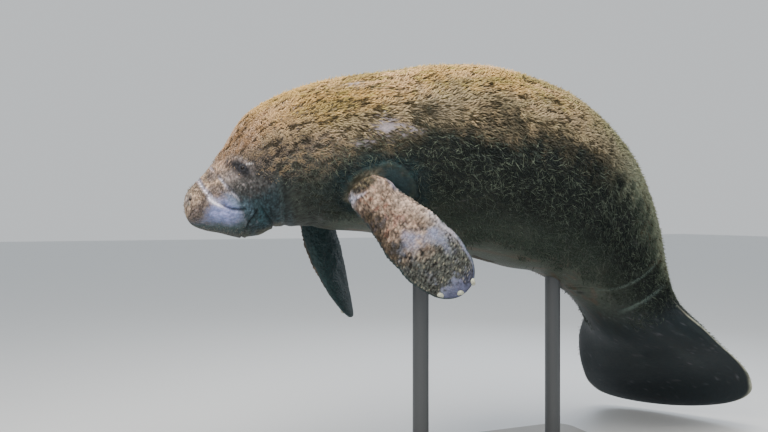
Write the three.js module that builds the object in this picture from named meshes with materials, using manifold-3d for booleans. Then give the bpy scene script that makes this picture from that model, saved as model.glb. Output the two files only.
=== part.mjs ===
// A manatee at life size, as a still display model on a stand.
// It swims with its head low and its back arched. One flipper is swung back and out, the other hangs,
// and the tail curls down and away to the animal's right.
// Millimetres, +Z up. The head points to -X and the animal's left side to -Y.
// The origin is the centre of the stand's underside, below the animal's middle.

import * as THREE from 'three';
import { mergeVertices } from 'three/addons/utils/BufferGeometryUtils.js';
import Module from 'manifold-3d';

const wasm = await Module();
wasm.setup();

// Driving dimensions of the body
const BODY_LENGTH = 3100;
const GAP = 0.3;
const NOSE_ROUNDING = 63;
const TAIL_ROUNDING = 155;
const COLUMNS = 44;

// Where the body's middle line passes over the stand, measured along it from the nose
const ANCHOR = { along: 1062, place: new THREE.Vector3(-222, -14, 1242) };

// The middle line's course: distance from the nose, slope, turn to the right and roll, in degrees
const COURSE = [
  [0, 32, 0, 0],
  [270, 29, 0, 0],
  [540, 11, 0, 0],
  [810, -1, 0, 0],
  [1170, -7, 0, 0],
  [1490, -16.5, 2, 0],
  [1800, -38.5, 6, 0],
  [2030, -53.5, 10, 0],
  [2210, -60.5, 15, -3],
  [2480, -54.5, 25, -9],
  [2750, -39.5, 24, -14],
  [BODY_LENGTH, -46, 21, -10],
];
const [SLOPE, TURN, ROLL] = [1, 2, 3];

// Sections across the body: distance from the nose, half width, height above and below the line
const SECTIONS = [
  [0, 78, 58, 48],
  [55, 95, 90, 80],
  [135, 112, 116, 150],
  [225, 126, 154, 172],
  [360, 166, 234, 218],
  [540, 230, 274, 274],
  [765, 297, 311, 305],
  [990, 345, 367, 344],
  [1215, 362, 399, 371],
  [1440, 350, 395, 384],
  [1665, 308, 346, 359],
  [1935, 236, 267, 320],
  [2160, 196, 203, 268],
  [2310, 212, 108, 232],
  [2500, 300, 58, 128],
  [2700, 357, 36, 54],
  [2880, 390, 22, 24],
  [BODY_LENGTH, 354, 16, 16],
];
const [HALF_WIDTH, ABOVE, BELOW] = [1, 2, 3];

// Swellings and hollows on both sides: place along, angle from the back line, reach, spread, height
const SWELLINGS = [
  { name: 'upper lip pad', along: 100, angle: 122, reach: 52, spread: 34, height: 13 },
  { name: 'cheek fold', along: 132, angle: 84, reach: 22, spread: 34, height: 5 },
  { name: 'nostril mound', along: 36, angle: 28, reach: 24, spread: 22, height: 6 },
  { name: 'brow', along: 228, angle: 44, reach: 30, spread: 15, height: 7 },
  { name: 'eye hollow', along: 226, angle: 68, reach: 26, spread: 13, height: -5 },
  { name: 'chin', along: 192, angle: 180, reach: 34, spread: 40, height: 9 },
  { name: 'throat', along: 262, angle: 180, reach: 20, spread: 60, height: -7 },
  { name: 'shoulder', along: 590, angle: 110, reach: 70, spread: 18, height: 16 },
];

// The lengths of the body between thin cuts, each a node, with the number of rings in it
const LENGTHS = [
  { name: 'head', from: 0, to: 300, rings: 27, skin: '#8f8576' },
  { name: 'neck', from: 300, to: 500, rings: 6, skin: '#8a7a5a' },
  { name: 'chest', from: 500, to: 950, rings: 9, skin: '#86764f' },
  { name: 'abdomen', from: 950, to: 1560, rings: 10, skin: '#7d7050' },
  { name: 'rump', from: 1560, to: 1940, rings: 8, skin: '#6a6448' },
  { name: 'tail_stock', from: 1940, to: 2290, rings: 9, skin: '#4f5346' },
  { name: 'tail_paddle', from: 2290, to: BODY_LENGTH, rings: 17, skin: '#3c4243' },
];

// Grooves: half width, depth, and a path of places along the body and angles from the back line
const GROOVES = [
  {
    name: 'muzzle crease', node: 'head', halfWidth: 6, depth: 7,
    path: [[104, 0], [95, 34], [94, 60], [99, 78], [112, 90], [129, 100], [156, 108], [176, 111]],
  },
  {
    name: 'cheek crease', node: 'head', halfWidth: 5, depth: 3,
    path: [[158, 6], [156, 32], [156, 56], [159, 75], [166, 90], [176, 103]],
  },
  {
    name: 'mouth', node: 'head', halfWidth: 5, depth: 11,
    path: [[212, 118], [200, 121], [187, 126], [165, 131], [146, 141], [133, 158], [128, 180]],
  },
  {
    name: 'jaw crease', node: 'head', halfWidth: 6, depth: 6,
    path: [[224, 110], [229, 120], [233, 130], [240, 140], [247, 154], [252, 180]],
  },
  {
    name: 'cleft of the upper lip', node: 'head', halfWidth: 7, depth: 8,
    path: [[44, 180], [80, 180], [112, 180], [127, 180]],
  },
  {
    name: 'nostril', node: 'head', halfWidth: 6, depth: 9,
    path: [[25, 22], [31, 25], [37, 31], [40, 38]],
  },
  {
    name: 'belly fold', node: 'abdomen', halfWidth: 12, depth: 8,
    path: [[1215, 172], [1262, 175], [1325, 174]],
  },
  {
    name: 'upper tail crease', node: 'tail_stock', halfWidth: 10, depth: 9,
    path: [[1968, 172], [1985, 162], [2026, 152], [2068, 140], [2090, 123], [2101, 105], [2100, 80]],
  },
  {
    name: 'lower tail crease', node: 'tail_stock', halfWidth: 10, depth: 8,
    path: [[2204, 150], [2203, 126], [2204, 106], [2212, 84]],
  },
];

// Eyes
const EYE = { along: 236, angle: 63, radius: 11, sink: 7.5, lidRadius: 11.5, lidThickness: 4 };

// Flippers: fraction of the length, half chord and half thickness
const BLADE = [
  [0, 68, 60],
  [0.12, 84, 56],
  [0.2, 84, 47],
  [0.32, 97, 41],
  [0.5, 113, 32],
  [0.7, 114, 24],
  [0.85, 96, 18],
  [1, 76, 12],
];
const [HALF_CHORD, HALF_THICKNESS] = [1, 2];
const BLADE_TIP = 0.16;
const BLADE_RINGS = 17;
const BLADE_COLUMNS = 20;
const FLIPPERS = [
  {
    name: 'flipper_left', side: -1, along: 608, angle: 116, sink: 0.06, length: 518,
    direction: [0.536, -0.488, -0.688], outerFace: [-0.42, -0.91, 0.25], sweep: 0, twist: 0,
  },
  {
    name: 'flipper_right', side: 1, along: 515, angle: 122, sink: 0.22, length: 560,
    direction: [0.249, 0.111, -0.962], outerFace: [-0.41, 0.91, 0], sweep: 0.146, twist: -40,
  },
];

// Nails: place along the blade and across it, from the trailing edge at -1 to the leading edge at 1
const NAILS = [
  { along: 0.98, across: -0.9 },
  { along: 0.978, across: 0.44 },
  { along: 0.9, across: 0.84 },
];
const NAIL = { halfLength: 12, halfWidth: 13, halfThickness: 7 };

// Stand
const BASE = { length: 1150, width: 620, height: 30, corner: 90, edge: 4 };
const ROD_RADIUS = 32;
const ROD_SIDES = 28;
const FLANGE = { radius: 75, height: 12 };
const RODS = [
  { name: 'front', x: -330, y: -14 },
  { name: 'rear', x: 290, y: -14 },
];

// Smooth value from a table at a place, with no overshoot between its rows
function blend(table, column, at) {
  const last = table.length - 1;
  let row = 0;
  while (row < last - 1 && table[row + 1][0] < at) row++;
  const step = (i) => table[i + 1][0] - table[i][0];
  const rise = (i) => (table[i + 1][column] - table[i][column]) / step(i);
  const slope = (i) => {
    if (i === 0) return rise(0);
    if (i === last) return rise(last - 1);
    if (rise(i - 1) * rise(i) <= 0) return 0;
    const before = 2 * step(i) + step(i - 1);
    const after = step(i) + 2 * step(i - 1);
    return (before + after) / (before / rise(i - 1) + after / rise(i));
  };
  const t = (at - table[row][0]) / step(row);
  const startShare = (1 + 2 * t) * (1 - t) ** 2;
  const endShare = t * t * (3 - 2 * t);
  const startSlope = t * (1 - t) ** 2 * step(row) * slope(row);
  const endSlope = t * t * (t - 1) * step(row) * slope(row + 1);
  return startShare * table[row][column] + startSlope + endShare * table[row + 1][column] + endSlope;
}

// Direction of the middle line, towards the tail
function heading(along) {
  const slope = THREE.MathUtils.degToRad(blend(COURSE, SLOPE, along));
  const turn = THREE.MathUtils.degToRad(blend(COURSE, TURN, along));
  const level = Math.cos(slope);
  return new THREE.Vector3(level * Math.cos(turn), level * Math.sin(turn), Math.sin(slope));
}

// The middle line as points a small step apart, moved so that the anchor lies in its place
const LINE_STEPS = 1240;
const LINE_STEP = BODY_LENGTH / LINE_STEPS;
const middleLine = [new THREE.Vector3()];
for (let i = 0; i < LINE_STEPS; i++) {
  const stride = heading((i + 0.5) * LINE_STEP).multiplyScalar(LINE_STEP);
  middleLine.push(middleLine[i].clone().add(stride));
}
const shift = ANCHOR.place.clone().sub(centreAt(ANCHOR.along));
middleLine.forEach((point) => point.add(shift));

function centreAt(along) {
  const place = along / LINE_STEP;
  const before = Math.min(Math.floor(place), LINE_STEPS - 1);
  return middleLine[before].clone().lerp(middleLine[before + 1], place - before);
}

// The section's centre and its directions to the animal's right and to its back
function sectionAt(along) {
  const ahead = heading(along);
  const turn = THREE.MathUtils.degToRad(blend(COURSE, TURN, along));
  const roll = THREE.MathUtils.degToRad(blend(COURSE, ROLL, along));
  const right = new THREE.Vector3(-Math.sin(turn), Math.cos(turn), 0).applyAxisAngle(ahead, roll);
  const back = ahead.clone().cross(right);
  return { centre: centreAt(along), right, back };
}

// How far the section has closed at the rounded nose and at the rounded end of the tail
function noseShare(along) {
  if (along >= NOSE_ROUNDING) return 1;
  return (1 - (1 - along / NOSE_ROUNDING) ** 2) ** 0.4;
}

function tailShare(along) {
  const past = along - (BODY_LENGTH - TAIL_ROUNDING);
  if (past <= 0) return 1;
  return Math.max(1 - (past / TAIL_ROUNDING) ** 2.4, 0) ** (1 / 2.4);
}

function swelling(along, angle) {
  let total = 0;
  for (const bump of SWELLINGS) {
    const u = (along - bump.along) / bump.reach;
    const v = (Math.abs(angle) - bump.angle) / bump.spread;
    total += bump.height * Math.exp(-u * u - v * v);
  }
  return total * noseShare(along);
}

// Point on the skin, with the angle in degrees from the back line, positive to the animal's right
function skinPoint(along, angle, lift = 0) {
  const { centre, right, back } = sectionAt(along);
  const turn = THREE.MathUtils.degToRad(angle);
  const tail = Math.max(tailShare(along), 0.02);
  const height = blend(SECTIONS, Math.cos(turn) > 0 ? ABOVE : BELOW, along) * noseShare(along) * Math.sqrt(tail);
  const width = blend(SECTIONS, HALF_WIDTH, along) * noseShare(along) * tail;
  const radial = new THREE.Vector2(width * Math.sin(turn), height * Math.cos(turn));
  const reach = radial.length();
  radial.multiplyScalar((reach + swelling(along, angle) + lift) / reach);
  return centre.addScaledVector(right, radial.x).addScaledVector(back, radial.y);
}

// Outward direction of the skin
function skinNormal(along, angle) {
  const lengthwise = skinPoint(along + 1, angle).sub(skinPoint(along - 1, angle));
  const around = skinPoint(along, angle + 0.5).sub(skinPoint(along, angle - 0.5));
  return around.cross(lengthwise).normalize().negate();
}

// Closed geometry from rings of points, each ring in the same order, with a fan at each end
function loft(rings) {
  const columns = rings[0].length;
  const positions = [];
  for (const ring of rings) {
    for (const point of ring) positions.push(point.x, point.y, point.z);
  }
  const triangles = [];
  for (let i = 0; i < rings.length - 1; i++) {
    for (let j = 0; j < columns; j++) {
      const next = (j + 1) % columns;
      const [a, b, c, d] = [i * columns + j, i * columns + next, (i + 1) * columns + next, (i + 1) * columns + j];
      triangles.push(a, d, c, a, c, b);
    }
  }
  for (const end of [0, rings.length - 1]) {
    const middle = new THREE.Vector3();
    rings[end].forEach((point) => middle.addScaledVector(point, 1 / columns));
    const centre = positions.length / 3;
    positions.push(middle.x, middle.y, middle.z);
    for (let j = 0; j < columns; j++) {
      const [a, b] = [end * columns + j, end * columns + (j + 1) % columns];
      triangles.push(...(end === 0 ? [centre, a, b] : [centre, b, a]));
    }
  }
  const geometry = new THREE.BufferGeometry();
  geometry.setAttribute('position', new THREE.Float32BufferAttribute(positions, 3));
  geometry.setIndex(triangles);
  return facingOut(geometry);
}

function enclosedVolume(geometry) {
  const [a, b, c] = [new THREE.Vector3(), new THREE.Vector3(), new THREE.Vector3()];
  const { position } = geometry.attributes;
  let total = 0;
  for (let i = 0; i < geometry.index.count; i += 3) {
    a.fromBufferAttribute(position, geometry.index.getX(i));
    b.fromBufferAttribute(position, geometry.index.getX(i + 1));
    c.fromBufferAttribute(position, geometry.index.getX(i + 2));
    total += a.dot(b.cross(c)) / 6;
  }
  return total;
}

function facingOut(geometry) {
  if (enclosedVolume(geometry) >= 0) return geometry;
  const flipped = [];
  for (let i = 0; i < geometry.index.count; i += 3) {
    flipped.push(geometry.index.getX(i), geometry.index.getX(i + 2), geometry.index.getX(i + 1));
  }
  geometry.setIndex(flipped);
  return geometry;
}

// Solids for joining and cutting, and the way back
function solid(geometry) {
  const bare = geometry.clone();
  bare.deleteAttribute('normal');
  bare.deleteAttribute('uv');
  const merged = mergeVertices(bare, 1e-3);
  const vertProperties = new Float32Array(merged.attributes.position.array);
  const triVerts = new Uint32Array(merged.index.array);
  return new wasm.Manifold(new wasm.Mesh({ numProp: 3, vertProperties, triVerts }));
}

function largest(body) {
  return body.decompose().reduce((best, piece) => (piece.volume() > best.volume() ? piece : best));
}

function geometryOf(body) {
  const mesh = largest(body).getMesh();
  const geometry = new THREE.BufferGeometry();
  geometry.setAttribute('position', new THREE.BufferAttribute(mesh.vertProperties.slice(), 3));
  geometry.setIndex(new THREE.BufferAttribute(mesh.triVerts.slice(), 1));
  return geometry;
}

// The body's rings
const angles = Array.from({ length: COLUMNS }, (_, j) => {
  const angle = (360 * j) / COLUMNS;
  return angle > 180 ? angle - 360 : angle;
});

function ring(along, lift = 0) {
  return angles.map((angle) => skinPoint(along, angle, lift));
}

// Places of a length's rings: close together where the nose rounds off, even elsewhere
function ringPlaces({ from, to, rings }) {
  const places = [];
  for (let i = 0; i < rings; i++) {
    const share = i / (rings - 1);
    places.push(from + (to - from) * (from === 0 ? share ** 1.6 : share));
  }
  places[0] += from === 0 ? 0.5 : GAP / 2;
  places[rings - 1] -= to === BODY_LENGTH ? 0.5 : GAP / 2;
  return places;
}

// A tapering tool that follows a path on the skin, for cutting a groove
function grooveTool({ halfWidth, depth, path }, side) {
  const steps = 3 * (path.length - 1);
  const sides = 6;
  const route = new THREE.SplineCurve(path.map(([along, angle]) => new THREE.Vector2(along, angle)));
  const places = route.getPoints(steps);
  const spots = places.map((place) => skinPoint(place.x, side * place.y));
  const rings = spots.map((spot, i) => {
    const outward = skinNormal(places[i].x, side * places[i].y);
    const forward = spots[Math.min(i + 1, steps)].clone().sub(spots[Math.max(i - 1, 0)]).normalize();
    const across = forward.clone().cross(outward).normalize();
    const taper = Math.min(1, 0.25 + 3 * Math.min(i, steps - i) / steps);
    const points = [];
    for (let k = 0; k < sides; k++) {
      const turn = (2 * Math.PI * k) / sides;
      const up = halfWidth + (depth + halfWidth) * taper * Math.cos(turn);
      const point = spot.clone().addScaledVector(outward, up);
      points.push(point.addScaledVector(across, halfWidth * taper * Math.sin(turn)));
    }
    return points;
  });
  return solid(loft(rings));
}

function cutGrooves(body, node) {
  for (const groove of GROOVES.filter((item) => item.node === node)) {
    for (const side of [-1, 1]) body = body.subtract(grooveTool(groove, side));
  }
  return body;
}

// Eyes: a ball in a socket with a thick lid round it
function eyeCentre(side) {
  const outward = skinNormal(EYE.along, side * EYE.angle);
  return skinPoint(EYE.along, side * EYE.angle).addScaledVector(outward, -EYE.sink);
}

function eyeBall(side, radius) {
  const geometry = new THREE.SphereGeometry(radius, 14, 10);
  const { x, y, z } = eyeCentre(side);
  return geometry.translate(x, y, z);
}

function lid(side) {
  const outward = skinNormal(EYE.along, side * EYE.angle);
  const geometry = new THREE.TorusGeometry(EYE.lidRadius, EYE.lidThickness, 6, 16);
  const facing = new THREE.Quaternion().setFromUnitVectors(new THREE.Vector3(0, 0, 1), outward);
  const { x, y, z } = skinPoint(EYE.along, side * EYE.angle).addScaledVector(outward, -1.5);
  return geometry.applyQuaternion(facing).translate(x, y, z);
}

function fitEyes(head) {
  for (const side of [-1, 1]) {
    head = head.add(solid(lid(side))).subtract(solid(eyeBall(side, EYE.radius + GAP)));
  }
  return head;
}

// Flippers
function bladeFrame({ side, along, angle, sink, direction, outerFace }) {
  const { centre } = sectionAt(along);
  const root = skinPoint(along, side * angle).lerp(centre, sink);
  const outward = new THREE.Vector3(...direction).normalize();
  const face = new THREE.Vector3(...outerFace).projectOnPlane(outward).normalize();
  const leading = outward.clone().cross(face).multiplyScalar(-side);
  return { root, outward, face, leading };
}

// A place on a flipper: share of its length, place across it, and the side that it faces
function bladePoint(flipper, along, across, through) {
  const { root, outward, face, leading } = bladeFrame(flipper);
  const past = Math.max(0, (along - (1 - BLADE_TIP)) / BLADE_TIP);
  const close = Math.max(Math.max(1 - past ** 2.2, 0) ** (1 / 2.2), 0.02);
  const halfChord = blend(BLADE, HALF_CHORD, along) * close;
  const halfThickness = blend(BLADE, HALF_THICKNESS, along) * Math.sqrt(close);
  const turn = THREE.MathUtils.degToRad(flipper.twist * along);
  const chord = leading.clone().applyAxisAngle(outward, turn);
  const normal = face.clone().applyAxisAngle(outward, turn);
  return root.clone()
    .addScaledVector(outward, flipper.length * along)
    .addScaledVector(leading, -flipper.sweep * flipper.length * along * along)
    .addScaledVector(chord, halfChord * across)
    .addScaledVector(normal, halfThickness * through * (1 + 0.2 * across));
}

function bladeRings(flipper) {
  const rings = [];
  for (let i = 0; i < BLADE_RINGS; i++) {
    const share = i / (BLADE_RINGS - 1);
    const along = Math.sin((share * Math.PI) / 2) * 0.5 + share * 0.5;
    const points = [];
    for (let j = 0; j < BLADE_COLUMNS; j++) {
      const turn = (2 * Math.PI * j) / BLADE_COLUMNS;
      points.push(bladePoint(flipper, along, Math.cos(turn), Math.sin(turn)));
    }
    rings.push(points);
  }
  return rings;
}

function nailGeometry(flipper, { along, across }, grow) {
  const { outward, face } = bladeFrame(flipper);
  const edge = Math.sqrt(Math.max(0, 1 - across * across));
  const place = bladePoint(flipper, along, across, 0.6 * edge);
  const pointing = outward.clone().applyAxisAngle(face, THREE.MathUtils.degToRad(35 * across * flipper.side));
  const basis = new THREE.Matrix4().makeBasis(pointing, face.clone().cross(pointing), face);
  const ball = new THREE.SphereGeometry(1, 10, 7);
  ball.scale(NAIL.halfLength + grow, NAIL.halfWidth + grow, NAIL.halfThickness + grow);
  return ball.applyMatrix4(basis.setPosition(place));
}

// Stand
function placed(geometry, x, y, z) {
  return geometry.translate(x, y, z);
}

function baseGeometry() {
  const { length, width, height, corner, edge } = BASE;
  const [halfLength, halfWidth] = [length / 2 - edge, width / 2 - edge];
  const outline = new THREE.Shape();
  outline.absarc(halfLength - corner, halfWidth - corner, corner, 0, Math.PI / 2);
  outline.absarc(corner - halfLength, halfWidth - corner, corner, Math.PI / 2, Math.PI);
  outline.absarc(corner - halfLength, corner - halfWidth, corner, Math.PI, 1.5 * Math.PI);
  outline.absarc(halfLength - corner, corner - halfWidth, corner, 1.5 * Math.PI, 2 * Math.PI);
  const options = {
    depth: height - 2 * edge, bevelThickness: edge, bevelSize: edge, bevelSegments: 1, curveSegments: 6,
  };
  return placed(new THREE.ExtrudeGeometry(outline, options), 0, 0, edge);
}

function upright(radius, from, to, x, y) {
  const geometry = new THREE.CylinderGeometry(radius, radius, to - from, ROD_SIDES);
  return placed(geometry.rotateX(Math.PI / 2), x, y, (from + to) / 2);
}

// Assembly
const model = new THREE.Group();
const paint = (color, roughness, metalness) => new THREE.MeshStandardMaterial({ color, roughness, metalness });
const FINISH = {
  skin: (color) => paint(color, 0.75, 0),
  eye: () => paint('#17120f', 0.15, 0),
  nail: () => paint('#cfc49a', 0.5, 0),
  metal: () => paint('#3a3d40', 0.45, 0.7),
  board: () => paint('#6c6a64', 0.6, 0),
};

function addNode(name, geometry, material) {
  const mesh = new THREE.Mesh(geometry, material);
  mesh.name = name;
  model.add(mesh);
}

// The body's whole length, a little larger, for clearing what meets it
const clearanceRings = LENGTHS.flatMap(ringPlaces).map((along) => ring(along, 1.3 * GAP));
const clearance = solid(loft(clearanceRings));

for (const length of LENGTHS) {
  let body = solid(loft(ringPlaces(length).map((along) => ring(along))));
  body = cutGrooves(body, length.name);
  if (length.name === 'head') body = fitEyes(body);
  addNode(length.name, geometryOf(body), FINISH.skin(length.skin));
}

for (const [side, name] of [[-1, 'eye_left'], [1, 'eye_right']]) {
  addNode(name, eyeBall(side, EYE.radius), FINISH.eye());
}

for (const flipper of FLIPPERS) {
  let blade = largest(solid(loft(bladeRings(flipper))).subtract(clearance));
  NAILS.forEach((nail, i) => {
    blade = blade.subtract(solid(nailGeometry(flipper, nail, GAP)));
    addNode(`${flipper.name}_nail_${i + 1}`, nailGeometry(flipper, nail, 0), FINISH.nail());
  });
  addNode(flipper.name, geometryOf(blade), FINISH.skin('#7c7463'));
}

addNode('stand_base', baseGeometry(), FINISH.board());
for (const { name, x, y } of RODS) {
  const flangeTop = BASE.height + GAP + FLANGE.height;
  addNode(`stand_flange_${name}`, upright(FLANGE.radius, BASE.height + GAP, flangeTop, x, y), FINISH.metal());
  const rod = solid(upright(ROD_RADIUS, flangeTop + GAP, ANCHOR.place.z, x, y)).subtract(clearance);
  addNode(`stand_rod_${name}`, geometryOf(rod), FINISH.metal());
}

export default model;
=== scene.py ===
# %% [markdown]
# # A manatee at life size, as a museum model
# The animal swims level with its head low, its back arched and its tail curling down and away.
# The solids hold its true shape in several nodes. Here they are dressed: one closed skin with its folds
# and wrinkles, a coat of algae over the back and sides, eyes, lids, nails and bristles.
# The frame is loaded first, so that every piece can be placed in its coordinates, in metres.

import bpy
import numpy as np
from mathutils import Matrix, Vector


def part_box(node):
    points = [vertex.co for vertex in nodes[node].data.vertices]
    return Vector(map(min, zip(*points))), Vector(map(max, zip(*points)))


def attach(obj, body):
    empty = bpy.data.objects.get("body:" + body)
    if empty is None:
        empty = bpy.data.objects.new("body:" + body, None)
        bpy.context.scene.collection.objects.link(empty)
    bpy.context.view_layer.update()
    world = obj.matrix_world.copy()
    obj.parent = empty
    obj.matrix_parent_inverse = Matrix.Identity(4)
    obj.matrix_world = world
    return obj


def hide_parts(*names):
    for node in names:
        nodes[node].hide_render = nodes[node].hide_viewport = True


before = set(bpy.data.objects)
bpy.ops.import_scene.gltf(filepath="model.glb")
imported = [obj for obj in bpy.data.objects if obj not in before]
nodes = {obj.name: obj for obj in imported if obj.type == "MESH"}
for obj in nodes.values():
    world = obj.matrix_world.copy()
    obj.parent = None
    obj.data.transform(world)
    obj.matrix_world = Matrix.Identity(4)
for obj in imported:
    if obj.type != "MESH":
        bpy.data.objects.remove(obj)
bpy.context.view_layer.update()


# %% [markdown]
# ## The camera
# The photo looks almost square at the animal's left side, from a little in front of it and at the
# height of its middle, with a level camera. A lens is given by its focal length in pixels of the
# photo, which Blender wants in millimetres on a 36 mm sensor.

# %% Camera
PHOTO_WIDTH = 768
FOCAL_PIXELS = 740
CAMERA_PLACE = (-1.562, -2.676, 1.020)
CAMERA_TURN = np.radians(-22)

camera_data = bpy.data.cameras.new("camera")
camera_data.sensor_width = 36
camera_data.lens = camera_data.sensor_width * FOCAL_PIXELS / PHOTO_WIDTH
camera = bpy.data.objects.new("camera", camera_data)
camera.location = CAMERA_PLACE
camera.rotation_euler = (np.pi / 2, 0, CAMERA_TURN)
bpy.context.scene.collection.objects.link(camera)
bpy.context.scene.camera = camera
print("lens in mm", round(camera_data.lens, 2))

# %% [markdown]
# ## The body's shape
# A body like this one is a row of cross sections along a curved middle line. The line is given by its
# slope, its turn to the animal's right and its roll at a few places. The sections are given by a half
# width and by the heights above and below the line. The numbers are the ones that the solids were made
# from, here in metres, so the skin and the solids have one shape.

# %% Body dimensions
BODY_LENGTH = 3.100
NOSE_ROUNDING = 0.063
TAIL_ROUNDING = 0.155
ANCHOR_ALONG = 1.062
ANCHOR_PLACE = np.array([-0.222, -0.014, 1.242])

# Distance from the nose, slope, turn and roll in degrees
COURSE = np.array([
    [0.000, 32.0, 0, 0],
    [0.270, 29.0, 0, 0],
    [0.540, 11.0, 0, 0],
    [0.810, -1.0, 0, 0],
    [1.170, -7.0, 0, 0],
    [1.490, -16.5, 2, 0],
    [1.800, -38.5, 6, 0],
    [2.030, -53.5, 10, 0],
    [2.210, -60.5, 15, -3],
    [2.480, -54.5, 25, -9],
    [2.750, -39.5, 24, -14],
    [BODY_LENGTH, -46.0, 21, -10],
])

# Distance from the nose, half width, height above and height below the line
SECTIONS = np.array([
    [0.000, 0.078, 0.058, 0.048],
    [0.055, 0.095, 0.090, 0.080],
    [0.135, 0.112, 0.116, 0.150],
    [0.225, 0.126, 0.154, 0.172],
    [0.360, 0.166, 0.234, 0.218],
    [0.540, 0.230, 0.274, 0.274],
    [0.765, 0.297, 0.311, 0.305],
    [0.990, 0.345, 0.367, 0.344],
    [1.215, 0.362, 0.399, 0.371],
    [1.440, 0.350, 0.395, 0.384],
    [1.665, 0.308, 0.346, 0.359],
    [1.935, 0.236, 0.267, 0.320],
    [2.160, 0.196, 0.203, 0.268],
    [2.310, 0.212, 0.108, 0.232],
    [2.500, 0.300, 0.058, 0.128],
    [2.700, 0.357, 0.036, 0.054],
    [2.880, 0.390, 0.022, 0.024],
    [BODY_LENGTH, 0.354, 0.016, 0.016],
])


def blend(table, column, at):
    """Smooth values from a table: a cubic through each pair of rows, whose slope at a row is the
    harmonic mean of the slopes on its two sides, or zero at a peak, so that it never overshoots."""
    x = table[:, 0]
    y = table[:, column]
    step = np.diff(x)
    rise = np.diff(y) / step
    slope = np.zeros(len(x))
    before = 2 * step[1:] + step[:-1]
    after = step[1:] + 2 * step[:-1]
    same_way = rise[1:] * rise[:-1] > 0
    safe = np.where(same_way, rise[:-1], 1), np.where(same_way, rise[1:], 1)
    slope[1:-1] = np.where(same_way, (before + after) / (before / safe[0] + after / safe[1]), 0)
    slope[0] = rise[0]
    slope[-1] = rise[-1]
    row = np.clip(np.searchsorted(x, at) - 1, 0, len(step) - 1)
    t = (at - x[row]) / step[row]
    ends = (1 + 2 * t) * (1 - t) ** 2 * y[row] + t * t * (3 - 2 * t) * y[row + 1]
    tilts = t * (1 - t) ** 2 * slope[row] + t * t * (t - 1) * slope[row + 1]
    return ends + tilts * step[row]


def heading(along):
    """Direction of the middle line towards the tail: level part times cosine of the slope, and its sine."""
    slope = np.radians(blend(COURSE, 1, along))
    turn = np.radians(blend(COURSE, 2, along))
    return np.stack([np.cos(slope) * np.cos(turn), np.cos(slope) * np.sin(turn), np.sin(slope)], -1)


LINE_STEPS = 1240
line_step = BODY_LENGTH / LINE_STEPS
line_places = np.arange(LINE_STEPS + 1) * line_step
strides = heading((np.arange(LINE_STEPS) + 0.5) * line_step) * line_step
middle_line = np.concatenate([np.zeros((1, 3)), np.cumsum(strides, axis=0)])
anchor_now = [np.interp(ANCHOR_ALONG, line_places, middle_line[:, k]) for k in range(3)]
middle_line += ANCHOR_PLACE - np.array(anchor_now)


def section(along):
    """Centre of the cross section, its direction to the animal's right and the one to its back."""
    centre = np.stack([np.interp(along, line_places, middle_line[:, k]) for k in range(3)], -1)
    ahead = heading(along)
    turn = np.radians(blend(COURSE, 2, along))
    roll = np.radians(blend(COURSE, 3, along))[..., None]
    level_right = np.stack([-np.sin(turn), np.cos(turn), 0 * turn], -1)
    upright = np.cross(ahead, level_right)
    right = np.cos(roll) * level_right + np.sin(roll) * upright
    return centre, right, np.cross(ahead, right)


print("nose at", middle_line[0].round(3), "and tail edge at", middle_line[-1].round(3))

# %% [markdown]
# ## Swellings, grooves and folds
# On top of the plain sections lie the forms that make the face: the pads of the upper lip, the creases
# behind them, the mouth, the chin and the folds of the neck and tail. A swelling is a bell curve in the
# distance along the body and the angle round it. A groove is a line on the skin with a width and a
# depth, and the skin beside it swells a little, as real skin does.

# %% Relief of the body
SWELLINGS = [
    {"name": "upper lip pad", "along": 0.100, "angle": 122, "reach": 0.052, "spread": 34, "height": 0.013},
    {"name": "cheek fold", "along": 0.132, "angle": 84, "reach": 0.022, "spread": 34, "height": 0.005},
    {"name": "nostril mound", "along": 0.036, "angle": 28, "reach": 0.024, "spread": 22, "height": 0.006},
    {"name": "brow", "along": 0.228, "angle": 44, "reach": 0.030, "spread": 15, "height": 0.007},
    {"name": "eye hollow", "along": 0.226, "angle": 68, "reach": 0.026, "spread": 13, "height": -0.005},
    {"name": "chin", "along": 0.192, "angle": 180, "reach": 0.034, "spread": 40, "height": 0.009},
    {"name": "throat", "along": 0.262, "angle": 180, "reach": 0.020, "spread": 60, "height": -0.007},
    {"name": "shoulder", "along": 0.590, "angle": 110, "reach": 0.070, "spread": 18, "height": 0.016},
]

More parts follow.
